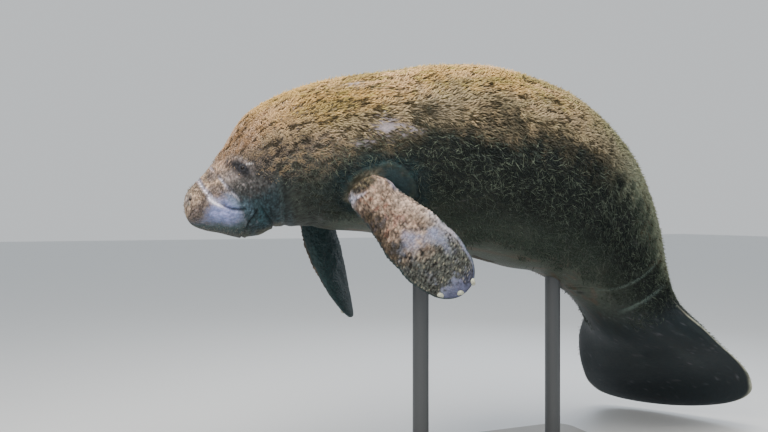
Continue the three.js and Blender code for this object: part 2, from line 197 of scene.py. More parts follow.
GROOVES = [
    {"name": "muzzle crease", "width": 0.0050, "depth": 0.0075, "path": [
        (0.104, 0), (0.095, 34), (0.094, 60), (0.099, 78), (0.112, 90), (0.129, 100), (0.156, 108),
        (0.176, 111)]},
    {"name": "cheek crease", "width": 0.0045, "depth": 0.0040, "path": [
        (0.158, 6), (0.156, 32), (0.156, 56), (0.159, 75), (0.166, 90), (0.176, 103)]},
    {"name": "mouth", "width": 0.0045, "depth": 0.0075, "path": [
        (0.205, 121), (0.198, 123), (0.187, 126), (0.165, 131), (0.146, 141), (0.133, 158), (0.128, 180)]},
    {"name": "jaw crease", "width": 0.0055, "depth": 0.0060, "path": [
        (0.229, 119), (0.231, 125), (0.234, 131), (0.240, 140), (0.247, 154), (0.252, 180)]},
    {"name": "cleft of the upper lip", "width": 0.0060, "depth": 0.0080, "path": [
        (0.044, 180), (0.080, 180), (0.112, 180), (0.127, 180)]},
    {"name": "nostril", "width": 0.0045, "depth": 0.0100, "path": [
        (0.025, 22), (0.031, 25), (0.037, 31), (0.040, 38)]},
    {"name": "belly fold", "width": 0.012, "depth": 0.009, "path": [
        (1.215, 172), (1.262, 175), (1.325, 174)]},
    {"name": "upper tail crease", "width": 0.010, "depth": 0.009, "path": [
        (1.968, 172), (1.985, 162), (2.026, 152), (2.068, 140), (2.090, 123), (2.101, 105), (2.100, 80)]},
    {"name": "lower tail crease", "width": 0.010, "depth": 0.008, "path": [
        (2.204, 150), (2.203, 126), (2.204, 106), (2.212, 84)]},
    {"name": "first neck fold", "width": 0.012, "depth": 0.006, "path": [
        (0.362, 62), (0.350, 85), (0.322, 108), (0.300, 134), (0.292, 155), (0.296, 180)]},
    {"name": "second neck fold", "width": 0.018, "depth": 0.004, "path": [
        (0.420, 84), (0.408, 110), (0.410, 140), (0.425, 180)]},
]


def swelling(along, angle):
    """Sum of bell curves, one for each swelling, alike on both sides."""
    total = 0 * along * angle
    for bump in SWELLINGS:
        u = (along - bump["along"]) / bump["reach"]
        v = (np.abs(angle) - bump["angle"]) / bump["spread"]
        total = total + bump["height"] * np.exp(-u * u - v * v)
    return total


def smooth_path(points, count=40):
    """Points on a curve through the given ones: a Catmull-Rom spline, sampled evenly in its parameter."""
    points = np.array(points, float)
    padded = np.vstack([2 * points[0] - points[1], points, 2 * points[-1] - points[-2]])
    t = np.linspace(0, len(points) - 1, count)
    i = np.minimum(t.astype(int), len(points) - 2)
    f = (t - i)[:, None]
    a, b, c, d = padded[i], padded[i + 1], padded[i + 2], padded[i + 3]
    bend = (2 * a - 5 * b + 4 * c - d) * f ** 2 + (3 * b - a - 3 * c + d) * f ** 3
    return 0.5 * (2 * b + (c - a) * f + bend)


def distance_to_path(path, along, angle):
    """Distance in metres from places on the skin to a path, measured on the skin laid flat, where one
    degree round the body counts as an arc of the body's own size at the path."""
    line = smooth_path(path)
    middle = np.full(1, line[:, 0].mean())
    radius = (blend(SECTIONS, 1, middle) + blend(SECTIONS, 2, middle) + blend(SECTIONS, 3, middle))[0] / 3
    arc = radius * np.pi / 180
    x = along[..., None]
    y = (np.abs(angle) * arc)[..., None]
    start, end = line[:-1], line[1:]
    run = np.stack([end[:, 0] - start[:, 0], (end[:, 1] - start[:, 1]) * arc], -1)
    dx = x - start[:, 0]
    dy = y - start[:, 1] * arc
    share = np.clip((dx * run[:, 0] + dy * run[:, 1]) / (run ** 2).sum(-1), 0, 1)
    return np.hypot(dx - share * run[:, 0], dy - share * run[:, 1]).min(-1)


GROOVE_REACH = 6
BANK_HEIGHT = 0.22
BANK_AT = 1.9


def groove_depth(groove, along, angle):
    """A groove's cross section: a bell-shaped cut with a low, wide swelling on both sides of it, whose
    height is a share of the depth and whose place is counted in widths of the cut."""
    near = GROOVE_REACH * groove["width"]
    places = np.array(groove["path"])
    depth = np.zeros(along.shape)
    close = (along > places[:, 0].min() - near) & (along < places[:, 0].max() + near)
    if close.any():
        d = distance_to_path(groove["path"], along[close], angle[close]) / groove["width"]
        depth[close] = groove["depth"] * (BANK_HEIGHT * np.exp(-(d - BANK_AT) ** 2) - np.exp(-d ** 2))
    return depth


# %% Rounded ends
NOSE_BLUNTNESS = 0.4
TAIL_SQUARENESS = 2.4
LEAST_OPENING = 0.02


def nose_share(along):
    """How far the rounded nose has opened: from 0 at its tip to 1 where the full sections begin."""
    return (1 - (1 - np.clip(along / NOSE_ROUNDING, 0, 1)) ** 2) ** NOSE_BLUNTNESS


def tail_share(along):
    """How far the tail is still open: 1 until its rounded end begins, then a superellipse down to 0."""
    past = np.clip((along - (BODY_LENGTH - TAIL_ROUNDING)) / TAIL_ROUNDING, 0, 1)
    return np.maximum((1 - past ** TAIL_SQUARENESS) ** (1 / TAIL_SQUARENESS), LEAST_OPENING)


def body_point(along, angle, lift=0.0):
    """Point on the body: the section's centre, plus half width times the sine of the angle to the
    right, plus height times its cosine to the back, pushed out by swellings, grooves and lift."""
    centre, right, back = section(along)
    turn = np.radians(angle)
    up = np.where(np.cos(turn) > 0, blend(SECTIONS, 2, along), blend(SECTIONS, 3, along))
    tail = tail_share(along)
    nose = nose_share(along)
    across = blend(SECTIONS, 1, along) * nose * tail * np.sin(turn)
    upward = up * nose * np.sqrt(tail) * np.cos(turn)
    reach = np.hypot(across, upward)
    grooves = sum(groove_depth(groove, along, angle) for groove in GROOVES)
    share = (reach + (swelling(along, angle) * nose + grooves * nose + lift)) / reach
    return centre + right * (across * share)[..., None] + back * (upward * share)[..., None]


print(len(SWELLINGS), "swellings and", len(GROOVES), "grooves on each side")

# %% [markdown]
# ## Markings
# Skin and algae carry the same markings, so both take their colours from the same functions of the
# distance along the body and the angle round it. The left side has negative angles. Broad colours come
# from the angle, patches from bell curves, and all edges are broken up by smooth noise, measured on the
# body as if it were straightened out, so that streaks follow its length.

# %% Noise and colour helpers
def linear(hex_colour):
    """Linear red, green and blue from an sRGB hex value."""
    value = np.array([int(hex_colour[i:i + 2], 16) for i in (1, 3, 5)]) / 255
    return np.where(value <= 0.04045, value / 12.92, ((value + 0.055) / 1.055) ** 2.4)


# Large whole numbers that throw neighbouring cells far apart
HASH_STEPS = (73856093, 19349663, 83492791)
HASH_SEED = 265443
HASH_SPREAD = 1274126177
# Farther than anything on the model: what a search for the nearest starts from
FAR = 9.0


def hashed(cell, seed):
    """A fixed random value from 0 to 1 for each cell of a lattice, from its whole-number place: its
    three numbers, each times a large one, are mixed bit by bit with each other and with the seed."""
    mixed = seed * HASH_SEED
    for axis, step in enumerate(HASH_STEPS):
        mixed = mixed ^ (cell[..., axis] * step)
    mixed = (mixed ^ (mixed >> 13)) * HASH_SPREAD
    return ((mixed ^ (mixed >> 16)) & 0xFFFF) / 65535


def noise(place, size, seed=0):
    """Smooth noise from 0 to 1: the random values at the corners of a lattice of boxes of the given
    size, blended across each box with s-shaped weights."""
    scaled = place / np.array(size)
    cell = np.floor(scaled).astype(np.int64)
    share = scaled - cell
    share = share * share * (3 - 2 * share)
    total = 0
    for corner in np.ndindex(2, 2, 2):
        weight = np.prod(np.where(corner, share, 1 - share), axis=-1)
        total = total + hashed(cell + np.array(corner), seed) * weight
    return total


def pebbling(place, size, seed):
    """Pebbles packed side by side. Every cell of a lattice holds one middle at a random place. Returns
    the distance to the second nearest middle less that to the nearest, which is 0 in the gaps and near
    1 on top of a pebble, and a random tone for the pebble."""
    scaled = place / np.array(size)
    base = np.floor(scaled).astype(np.int64)
    nearest = np.full(scaled.shape[:-1], FAR)
    second = nearest.copy()
    tone = np.zeros(nearest.shape)
    for step in np.ndindex(3, 3, 3):
        cell = base + np.array(step) - 1
        middle = cell + np.stack([hashed(cell, seed + k) for k in (1, 2, 3)], -1)
        gap = np.linalg.norm(scaled - middle, axis=-1)
        second = np.where(gap < nearest, nearest, np.minimum(second, gap))
        tone = np.where(gap < nearest, hashed(cell, seed + 4), tone)
        nearest = np.minimum(nearest, gap)
    return second - nearest, tone


# %% Weights and mixing
def ramp(value, start, end):
    """0 before start, 1 after end and an s-curve between."""
    share = np.clip((value - start) / (end - start), 0, 1)
    return share * share * (3 - 2 * share)


def mix(base, colour, weight):
    """Base colours moved towards a colour by a weight from 0 to 1."""
    return base + (colour - base) * np.clip(weight, 0, 1)[..., None]


def filled(colour, shape):
    """One colour for every place of an array."""
    return np.broadcast_to(linear(colour), shape + (3,))


def straightened(along, angle):
    """Place on the body laid out straight: distance along it, and a circle of its mean size round it."""
    radius = (blend(SECTIONS, 1, along) + blend(SECTIONS, 2, along) + blend(SECTIONS, 3, along)) / 3
    turn = np.radians(angle)
    return np.stack(np.broadcast_arrays(along, radius * np.sin(turn), radius * np.cos(turn)), -1)


def patch(along, angle, middle, reach):
    """Bell curve round a place, with its reach in both ways."""
    u = (along - middle[0]) / reach[0]
    v = (angle - middle[1]) / reach[1]
    return np.exp(-u * u - v * v)


def line(path, along, angle, width):
    """1 on a path on the skin, falling off beside it as a bell of the given width in metres."""
    path = np.array(path, float)
    weight = np.zeros(along.shape)
    near = (along > path[:, 0].min() - 4 * width) & (along < path[:, 0].max() + 4 * width)
    if near.any():
        weight[near] = np.exp(-(distance_to_path(path, along[near], angle[near]) / width) ** 2)
    return weight


print("one colour made linear", linear("#918a93").round(3))

# %% Where the pale back ends
# Distance from the nose, and the angle at which the pale back gives way to the dark side
SHADE_LINE = np.array([
    [0.00, 70],
    [0.30, 76],
    [0.42, 84],
    [0.62, 88],
    [0.72, 84],
    [0.82, 73],
    [0.90, 70],
    [1.62, 71],
    [1.75, 77],
    [1.90, 80],
    [BODY_LENGTH, 80],
])


def below_line(along, angle):
    """How many degrees a place lies below the line where the pale back ends. The edge is broken up by
    broad noise and by narrow streaks that hang down the side."""
    place = straightened(along, angle)
    broad = noise(place, (0.16, 0.07, 0.07), 21) - 0.5
    hanging = noise(place, (0.010, 0.055, 0.055), 22) - 0.5
    return np.abs(angle) - blend(SHADE_LINE, 1, along) + 20 * broad + 22 * hanging


print("the pale back ends at", blend(SHADE_LINE, 1, np.array([0.3, 1.0, 2.0])).round(1), "degrees")

# %% Scars, creases and scratches
SCARS = [
    {"middle": (0.695, -74), "reach": (0.062, 11.0), "strength": 1.0},
    {"middle": (0.770, -78), "reach": (0.050, 5.0), "strength": 0.9},
    {"middle": (0.620, -84), "reach": (0.050, 4.0), "strength": 0.6},
    {"middle": (0.645, -31.5), "reach": (0.055, 4.5), "strength": 1.0},
]
SCRATCHES = [
    [(0.252, -63), (0.262, -65), (0.272, -68)],
    [(0.290, -51), (0.305, -52), (0.320, -56), (0.334, -62)],
    [(0.700, -52), (0.712, -58), (0.705, -66)],
]
SCRATCH_WIDTH = 0.0016


def scar_weight(along, angle):
    """Where the coat is rubbed off down to pale skin, with ragged edges."""
    ragged = noise(straightened(along, angle), (0.016, 0.008, 0.008), 5) - 0.5
    total = 0
    for scar in SCARS:
        bell = patch(along, angle, scar["middle"], scar["reach"])
        total = total + scar["strength"] * ramp(bell + 0.7 * ragged, 0.2, 0.95)
    return np.clip(total, 0, 1)


TAIL_CREASES = ("upper tail crease", "lower tail crease")


def crease(name, along, angle, width):
    """How close a place is to a groove of that name."""
    return line(next(groove["path"] for groove in GROOVES if groove["name"] == name), along, angle, width)


def scratch_weight(along, angle):
    """Thin pale scratches, all on the left side."""
    total = sum(line([(x, -y) for x, y in path], along, angle, SCRATCH_WIDTH) for path in SCRATCHES)
    return 0.8 * np.clip(total, 0, 1) * (angle < 0)


EYE_ALONG = 0.236
EYE_ANGLE = 63
EYE_PATCH_PATH = [(0.212, 42), (0.224, 52), (0.236, 63), (0.244, 71)]

print(len(SCARS), "scars and", len(SCRATCHES), "scratches")

# %% Colours of the body
def body_hide(along, angle):
    """Colour of the bare skin behind the head: grey-brown on the back, black-green on the sides, olive
    grey on the belly with brownish streaks along it, darkened there as painted shade, and dark slate on
    the tail, partly painted shade. The tail's thin edge has a pale line of painted highlight and wear,
    pale lines of painted highlight run beside its creases, and the belly fold is painted shade."""
    round_body = np.abs(angle)
    place = straightened(along, angle)
    level = below_line(along, angle)
    wander = 24 * (noise(place, (0.20, 0.10, 0.10), 1) - 0.5)
    wander = wander + 12 * (noise(place, (0.05, 0.02, 0.02), 2) - 0.5)
    colour = mix(filled("#7b6c50", level.shape), linear("#2e332b"), ramp(level, -20, 16))
    # Olive grey belly, made darker as painted shade under the body
    colour = mix(colour, linear("#434a42"), ramp(round_body + wander, 118, 158))
    streak = noise(place, (0.30, 0.014, 0.014), 4)
    colour = mix(colour, linear("#54453a"), 0.6 * ramp(streak, 0.5, 0.75) * ramp(round_body, 138, 162))
    # Dark slate towards the tail: partly the skin's colour, partly painted shade
    colour = mix(colour, linear("#131d21"), ramp(along + 0.002 * wander, 2.00, 2.35))
    upper = noise(place, (0.50, 0.03, 0.03), 8)
    on_tail = ramp(along, 2.1, 2.3) * (1 - ramp(along, 2.6, 2.9))
    colour = mix(colour, linear("#262d2e"), 0.5 * ramp(upper, 0.4, 0.8) * on_tail)
    turn = np.radians(angle)
    upward = np.where(np.cos(turn) > 0, blend(SECTIONS, 2, along), blend(SECTIONS, 3, along))
    # A pale line along the tail's thin edge: painted highlight where the edge catches the light, and partly
    # wear
    edge = ramp(along, 2.25, 2.4) * (1 - ramp(upward * np.abs(np.cos(turn)), 0.002, 0.007))
    worn = 0.5 + 0.5 * ramp(noise(place, (0.03, 0.02, 0.02), 15), 0.3, 0.6)
    colour = mix(colour, linear("#a9aa98"), edge * worn)
    # Pale lines beside the tail's creases: painted highlight
    ends = ramp(round_body, 74, 88) * (1 - ramp(round_body, 118, 160))
    for name in TAIL_CREASES:
        colour = mix(colour, linear("#75877f"), 0.75 * ends * crease(name, along - 0.004, angle, 0.0050))
    # The belly fold darkened: painted shade in the fold
    colour = mix(colour, linear("#191d1b"), 0.85 * crease("belly fold", along, angle, 0.012))
    return mix(colour, linear("#15191a"), 0.9 * patch(along, round_body, (2.022, 168), (0.016, 4.5)))


# %% Colours of the head
def face_places(along, angle):
    """What every colour of the head is laid out by: the angle round the body on either side, the place
    on the straightened body, fine and broad noise, and the angle with its edges broken up by both."""
    round_body = np.abs(angle)
    place = straightened(along, angle)
    fine = noise(place, (0.006, 0.006, 0.006), 3)
    broad = noise(place, (0.035, 0.025, 0.025), 9)
    return round_body, place, fine, broad, round_body + 14 * (broad - 0.5) + 10 * (fine - 0.5)


def cheek_hide(along, angle):
    """Colour of the forehead, the cheeks and the jaw, from tan through grey-brown to teal, with painted
    shade in the first neck fold.
    """
    round_body, place, fine, broad, level = face_places(along, angle)
    colour = mix(filled("#c2a690", along.shape), linear("#857b78"), ramp(level, 30, 58))
    colour = mix(colour, linear("#474747"), ramp(level, 58, 80))
    flecks = ramp(fine, 0.62, 0.85) * patch(along, round_body, (0.215, 80), (0.045, 16))
    colour = mix(colour, linear("#a1989a"), 0.5 * flecks)
    colour = mix(colour, linear("#2b3c42"), ramp(level, 86, 112))
    colour = mix(colour, linear("#363c37"), ramp(along, 0.29, 0.34) * ramp(level, 86, 116))
    colour = mix(colour, linear("#525c5b"), 0.45 * crease("first neck fold", along + 0.012, angle, 0.010))
    # A dark line just behind the first neck fold: painted shade in the fold
    colour = mix(colour, linear("#1f2625"), 0.85 * crease("first neck fold", along - 0.004, angle, 0.007))
    jaw = patch(along, round_body, (0.214, 131), (0.032, 18))
    colour = mix(colour, linear("#2d474e"), ramp(jaw, 0.05, 0.9))
    chin = ramp(along, 0.16, 0.19) * ramp(level, 148, 164) * (1 - ramp(along, 0.26, 0.30))
    return mix(colour, linear("#4a4a3c"), chin)


def muzzle_hide(along, angle):
    """Colour of the snout, which is tan with a painted highlight on top of its tip, and of the pads of
    the upper lip, which are lavender.
    """
    round_body, place, fine, broad, level = face_places(along, angle)
    tan = ramp(broad, 0.35, 0.7) * (1 - ramp(round_body, 50, 80))
    pads = mix(filled("#8a7b74", along.shape), linear("#c2a992"), tan)
    front = 1 - ramp(along + 0.03 * (broad - 0.5), 0.045, 0.105)
    pads = mix(pads, linear("#c7ae96"), front * (1 - ramp(round_body, 40, 66)))
    pads = mix(pads, linear("#5f564d"), 0.8 * ramp(fine, 0.55, 0.8))
    pads = mix(pads, linear("#665e58"), ramp(level, 62, 92) * front)
    # A pinkish white patch on top of the snout's tip: painted highlight
    tip = (1 - ramp(along, 0.03, 0.06)) * (1 - ramp(round_body, 30, 60))
    pads = mix(pads, linear("#d6c9c6"), 0.6 * ramp(broad, 0.4, 0.7) * tip)
    lip = patch(along, round_body, (0.108, 103), (0.066, 24)) + 0.30 * (broad - 0.5) + 0.25 * (fine - 0.5)
    pads = mix(pads, linear("#6f7aa3"), ramp(lip, 0.05, 0.75))
    streaks = noise(place, (0.024, 0.005, 0.005), 14) - 0.5
    pads = mix(pads, linear("#a0a6da"), 0.85 * ramp(lip + 0.8 * streaks, 0.50, 1.1))
    pads = mix(pads, linear("#5d6a80"), 0.6 * ramp(level, 100, 124))
    pads = mix(pads, linear("#3a4a4a"), ramp(level, 114, 138))
    return mix(pads, linear("#3d3f36"), ramp(level, 140, 160))


def pale_bands(along, angle):
    """Weight of the white bands in the creases of the muzzle and the cheek. The muzzle's runs on
    beside its crease lower down, and the cheek's fades there."""
    round_body, place, fine, broad, level = face_places(along, angle)
    pale = crease("muzzle crease", along, angle, 0.0066) * (1 - ramp(round_body, 66, 96))
    pale = pale * ramp(fine + broad, 0.2, 0.9)
    beside = ramp(round_body, 60, 74) * (1 - ramp(round_body, 88, 100))
    pale = pale + crease("muzzle crease", along + 0.009, angle, 0.006) * beside
    faint = 0.9 - 0.45 * ramp(round_body, 60, 84) - 0.45 * ramp(round_body, 88, 102)
    worn = ramp(broad + 0.4 * fine, 0.30, 0.80)
    return pale + faint * crease("cheek crease", along, angle, 0.0042) * worn


def face_hide(along, angle):
    """Colour of the head: forehead, cheeks and jaw, the muzzle in front of them, the pale bands, painted
    shade in the lower muzzle crease, the mouth, the jaw crease and the nostrils, a painted highlight
    below each nostril, and a dark patch round each eye."""
    round_body, place, fine, broad, level = face_places(along, angle)
    muzzle = 1 - ramp(along + 0.02 * (fine - 0.5), 0.150, 0.165)
    colour = mix(cheek_hide(along, angle), muzzle_hide(along, angle), muzzle)
    colour = mix(colour, linear("#6e7f97"), 0.75 * patch(along, round_body, (0.150, 94), (0.017, 17)))
    colour = mix(colour, linear("#587080"), 0.8 * patch(along, round_body, (0.184, 110), (0.016, 9)))
    colour = mix(colour, linear("#e6e3f5"), pale_bands(along, angle))
    # Painted shade in the lower muzzle crease, the mouth and the jaw crease
    dark = crease("muzzle crease", along, angle, 0.0035) * ramp(round_body, 86, 96)
    dark = dark + crease("mouth", along, angle, 0.0035) * ramp(along, 0.135, 0.160)
    dark = dark + 0.8 * crease("jaw crease", along, angle, 0.003)
    colour = mix(colour, linear("#1b2224"), 0.8 * dark)
    # The nostrils painted near black: painted shade inside the holes
    colour = mix(colour, linear("#0b0b0c"), crease("nostril", along, angle, 0.0034))
    # A pale spot below each nostril: painted highlight
    colour = mix(colour, linear("#e8e2da"), 0.8 * patch(along, round_body, (0.028, 39), (0.0045, 5)))
    round_eye = 0.95 * line(EYE_PATCH_PATH, along + 0.005, angle, 0.0180) * ramp(fine + broad, 0.1, 0.6)
    round_eye = round_eye + 0.6 * patch(along, round_body, (EYE_ALONG, EYE_ANGLE), (0.018, 9))
    return mix(colour, linear("#25262c"), round_eye)


# %% Colours of the whole hide
def hide_colour(along, angle):
    """Colour of the bare skin: the body's, the face's in front of it, a random tone on each pebble of
    the head and painted shade in the gaps between them, and scars and scratches on top."""
    place = straightened(along, angle)
    wander = 0.08 * (noise(place, (0.08, 0.05, 0.05), 12) - 0.5)
    colour = body_hide(along, angle)
    head = along < 0.60
    face = face_hide(along[head], angle[head])
    edge, tone = pebbling(place[head], (0.0100, 0.0085, 0.0085), 6)
    smooth_pad = ramp(patch(along[head], np.abs(angle[head]), (0.10, 108), (0.06, 26)), 0.1, 0.4)
    depth = (1 - smooth_pad) * (1 - ramp(along[head], 0.45, 0.58))
    # Each pebble of the head gets a random tone, and the gaps between them painted shade
    face = face * (1 + depth * (0.70 * (tone - 0.5) - 0.50 * (1 - ramp(edge, 0.05, 0.45))))[..., None]
    colour[head] = mix(face, colour[head], ramp(along[head] + wander[head], 0.40, 0.56))
    colour = mix(colour, linear("#918a93"), 0.85 * scar_weight(along, angle))
    return mix(colour, linear("#e4dfe0"), scratch_weight(along, angle))


print("hide at the back", hide_colour(np.array([1.0]), np.array([0.0])).round(3))

# %% Colours of the algae
def algae_cover(along, angle):
    """How thickly algae grows: all over the back and sides, thinly on the cheeks, and not on the belly,
    the muzzle, the scars, the skin round the eyes or the underside of the tail."""
    round_body = np.abs(angle)
    place = straightened(along, angle)
    wander = noise(place, (0.10, 0.05, 0.05), 11) - 0.5
    cover = 1 - ramp(round_body + 34 * wander, 122, 156)
    front = along - 0.0028 * np.clip(round_body - 52, 0, 60) + 0.03 * wander
    cover = cover * ramp(front, 0.165, 0.30)
    cover = cover * (1 - ramp(along, 2.15, 2.35) * (0.35 + 0.65 * ramp(round_body, 60, 90)))
    cover = cover * (1 - ramp(along + 0.3 * wander, 2.45, 3.00))
    cover = cover * (1 - 0.85 * scar_weight(along, angle)) * (1 - 0.7 * scratch_weight(along, angle))
    for name in TAIL_CREASES:
        cover = cover * (1 - 0.9 * crease(name, along + 0.006, angle, 0.0120))
    return cover * (1 - ramp(line(EYE_PATCH_PATH, along, angle, 0.024), 0.15, 0.7))


def algae_colour(along, angle, clump):
    """Colour of the algae: tan and gold on the back with dark olive specks, a fringe of grey-green where
    the back ends, black-green with paler wisps on the sides, olive towards the tail, and dark olive grey
    towards the belly, partly painted shade. The clump value, from 0 to 1, picks the dark specks and the
    pale wisps."""
    round_body = np.abs(angle)
    place = straightened(along, angle)
    broad = noise(place, (0.13, 0.06, 0.06), 23)
    fine = noise(place, (0.035, 0.012, 0.012), 24)
    level = below_line(along, angle)
    back = mix(filled("#cbaa6e", along.shape), linear("#dbb98c"), ramp(broad, 0.35, 0.75))
    brow_fleck = ramp(noise(place, (0.012, 0.008, 0.008), 26), 0.35, 0.65)
    brow = mix(filled("#a8876a", along.shape), linear("#c4aa98"), brow_fleck)
    back = mix(back, brow, 0.85 * (1 - ramp(along, 0.27, 0.42)))
    green = noise(place, (0.22, 0.05, 0.05), 25)
    back = mix(back, linear("#8c8450"), 0.65 * ramp(green, 0.48, 0.72) * ramp(along, 0.34, 0.60))
    back = mix(back, linear("#8f8747"), 0.7 * ramp(fine, 0.55, 0.75) * ramp(along, 0.30, 0.60))
    back = mix(back, linear("#86886a"), ramp(along, 1.20, 1.70))
    back = mix(back, linear("#d9cbb2"), 0.8 * patch(along, round_body, (0.86, 66), (0.09, 8)))
    rear = ramp(along, 1.50, 1.80)
    fringe = mix(filled("#a0937c", along.shape), linear("#7d8575"), rear)
    back = mix(back, fringe, 0.7 * ramp(level, -34, -14))
    fringe = mix(filled("#5b5546", along.shape), linear("#48564b"), rear)
    back = mix(back, fringe, 0.8 * ramp(level, -14, 4))
    back = mix(back, linear("#332d1c"), 0.9 * ramp(clump, 0.55, 0.66))
    back = mix(back, linear("#3a433c"), ramp(along, 2.10, 2.60))
    pale_wisp = ramp(clump, 0.68, 0.9) * (1 - 0.5 * ramp(level, 10, 50))
    side = mix(filled("#18221f", along.shape), linear("#66756a"), pale_wisp)
    side = mix(side, linear("#10181a"), 0.5 * ramp(level, 2, 20) * (1 - ramp(level, 40, 70)))
    colour = mix(back, side, ramp(level, -10, 20))
    wisps = patch(along, round_body, (1.735, 72), (0.09, 12)) * ramp(clump, 0.52, 0.66)
    colour = mix(colour, linear("#a9b096"), 0.7 * wisps)
    # Dark olive grey towards the belly: partly its colour, partly painted shade
    belly = linear("#404b42") * (1 - 0.35 * ramp(along, 1.7, 2.1))[..., None]
    colour = mix(colour, belly, 0.8 * ramp(round_body, 108, 142))
    start = 52 + 16 * ramp(along, 0.30, 0.42)
    neck = (1 - ramp(along, 0.46, 0.62)) * ramp(round_body + 30 * (broad - 0.5) - start, 0, 18)
    down_neck = ramp(round_body + 24 * (fine - 0.5), 70, 112)
    neck_colour = mix(filled("#877b70", along.shape), linear("#414a47"), down_neck)
    neck_colour = mix(neck_colour, linear("#2b2720"), 0.8 * ramp(clump, 0.53, 0.64))
    gold = (1 - ramp(clump, 0.34, 0.46)) * (1 - ramp(round_body, 84, 112))
    neck_colour = mix(neck_colour, linear("#b39b78"), 0.7 * gold)
    return mix(colour, neck_colour, 0.9 * neck) * (0.8 + 0.4 * fine)[..., None]


print("algae at the back", algae_colour(np.array([1.0]), np.array([0.0]), np.array([0.5])).round(3))

# %% [markdown]
# ## Meshes from grids
# Every surface here is worked out as a grid of points: rings along the body or the flipper, columns
# round it. One function turns rings into a closed mesh with a point at each end, and others give the
# mesh its colours and its place on the straightened body as attributes, which the materials read.

# %% Mesh helpers
FIELDS = {1: "value", 3: "vector", 4: "color"}


def unit(vector):
    """A vector, or each of several, with its length made 1."""
    vector = np.asarray(vector, float)
    return vector / np.linalg.norm(vector, axis=-1, keepdims=True)


def make_object(name, points, faces, smooth=True):
    """Mesh object from an array of points and a list of index arrays, each with 3 or 4 corners a face."""
    mesh = bpy.data.meshes.new(name)
    mesh.vertices.add(len(points))
    mesh.vertices.foreach_set("co", np.asarray(points, np.float32).ravel())
    corners = np.concatenate([part.ravel() for part in faces]).astype(np.int32)
    sizes = np.concatenate([np.full(len(part), part.shape[1]) for part in faces])
    starts = np.concatenate([[0], np.cumsum(sizes)[:-1]]).astype(np.int32)
    mesh.loops.add(len(corners))
    mesh.polygons.add(len(sizes))
    mesh.polygons.foreach_set("loop_start", starts)
    mesh.polygons.foreach_set("vertices", corners)
    mesh.update(calc_edges=True)
    mesh.polygons.foreach_set("use_smooth", np.full(len(sizes), smooth))
    made = bpy.data.objects.new(name, mesh)
    bpy.context.scene.collection.objects.link(made)
    return made


def closed_rings(rings):
    """Points and faces of a closed surface from an array of rings, (ring, column, 3), with a centre
    point added at each end. The columns run so that the faces point outwards."""
    count, columns = rings.shape[:2]
    i = np.arange(count - 1)[:, None] * columns
    j = np.arange(columns)[None, :]
    after = (j + 1) % columns
    quads = np.stack([i + j, i + columns + j, i + columns + after, i + after], -1).reshape(-1, 4)
    first, last = count * columns, count * columns + 1
    j, after = j[0], after[0]
    front = np.stack([np.full(columns, first), j, after], -1)
    end = (count - 1) * columns
    rear = np.stack([np.full(columns, last), end + after, end + j], -1)
    points = np.concatenate([rings.reshape(-1, 3), rings[0].mean(0)[None], rings[-1].mean(0)[None]])
    return points, [quads, front, rear]


def merged(shapes):
    """Points and faces of several shapes as one mesh's."""
    starts = np.cumsum([0] + [len(points) for points, faces in shapes])
    return np.concatenate([points for points, faces in shapes]), [
        part + start for (points, faces), start in zip(shapes, starts) for part in faces]


# %% Values on points
def with_ends(values):
    """Values on rings, flattened, with the means of the first and last ring added for the end points."""
    flat = values.reshape((-1,) + values.shape[2:])
    return np.concatenate([flat, values[0].mean(0)[None], values[-1].mean(0)[None]])


def give(made, name, kind, values):
    """Stores a value for each point as a named attribute."""
    field = {"FLOAT": "value", "FLOAT_VECTOR": "vector", "FLOAT_COLOR": "color"}[kind]
    if kind == "FLOAT_COLOR":
        values = np.concatenate([values, np.ones((len(values), 1))], -1)
    attribute = made.data.attributes.new(name, kind, "POINT")
    attribute.data.foreach_set(field, np.asarray(values, np.float32).ravel())


def read(mesh, name, width=1):
    """Reads an attribute back as an array, with one column for each of its numbers."""
    values = np.zeros(len(mesh.vertices) * width, np.float32)
    mesh.attributes[name].data.foreach_get(FIELDS[width], values)
    return values.reshape(-1, width)


print("a square's values with its end points", with_ends(np.ones((2, 2))))

# %% [markdown]
# ## The flippers
# A flipper is a thick blade: oval sections along a straight or slightly swept line, widest beyond the
# middle, with a thicker leading edge. The left one is swung back and shows its outer face. The right
# one hangs and turns along its length. Both start inside the body, and a boolean union joins them to it.

# %% Flipper dimensions
# Share of the length, half the width and half the thickness
BLADE = np.array([
    [0.00, 0.068, 0.060],
    [0.12, 0.084, 0.056],
    [0.20, 0.084, 0.047],
    [0.32, 0.097, 0.041],
    [0.50, 0.113, 0.032],
    [0.70, 0.114, 0.024],
    [0.85, 0.096, 0.018],
    [1.00, 0.076, 0.012],
])
BLADE_TIP = 0.16
TIP_SQUARENESS = 2.2
FLIPPERS = [
    {"name": "left", "side": -1, "along": 0.608, "angle": 116, "sink": 0.06, "length": 0.518,
     "direction": (0.536, -0.488, -0.688), "outer": (-0.42, -0.91, 0.25), "sweep": 0.0, "twist": 0},
    {"name": "right", "side": 1, "along": 0.515, "angle": 122, "sink": 0.22, "length": 0.560,
     "direction": (0.249, 0.111, -0.962), "outer": (-0.41, 0.91, 0.0), "sweep": 0.146, "twist": -40},
]

print("flipper lengths", [flipper["length"] for flipper in FLIPPERS])


# %% Flipper shape
def turned(vector, axis, angle):
    """A vector turned about an axis at right angles to it, by an array of angles."""
    sideways = np.cross(axis, vector)
    return np.cos(angle)[..., None] * vector + np.sin(angle)[..., None] * sideways


def blade_frame(flipper):
    """Root of the flipper, its direction, its outer face and the way to its leading edge."""
    along = np.array([flipper["along"]])
    surface = body_point(along, np.array([flipper["side"] * flipper["angle"]], float))[0]
    root = surface + (section(along)[0][0] - surface) * flipper["sink"]
    direction = unit(flipper["direction"])
    outer = np.array(flipper["outer"], float)
    outer = unit(outer - direction * (outer @ direction))
    return root, direction, outer, np.cross(direction, outer) * -flipper["side"]


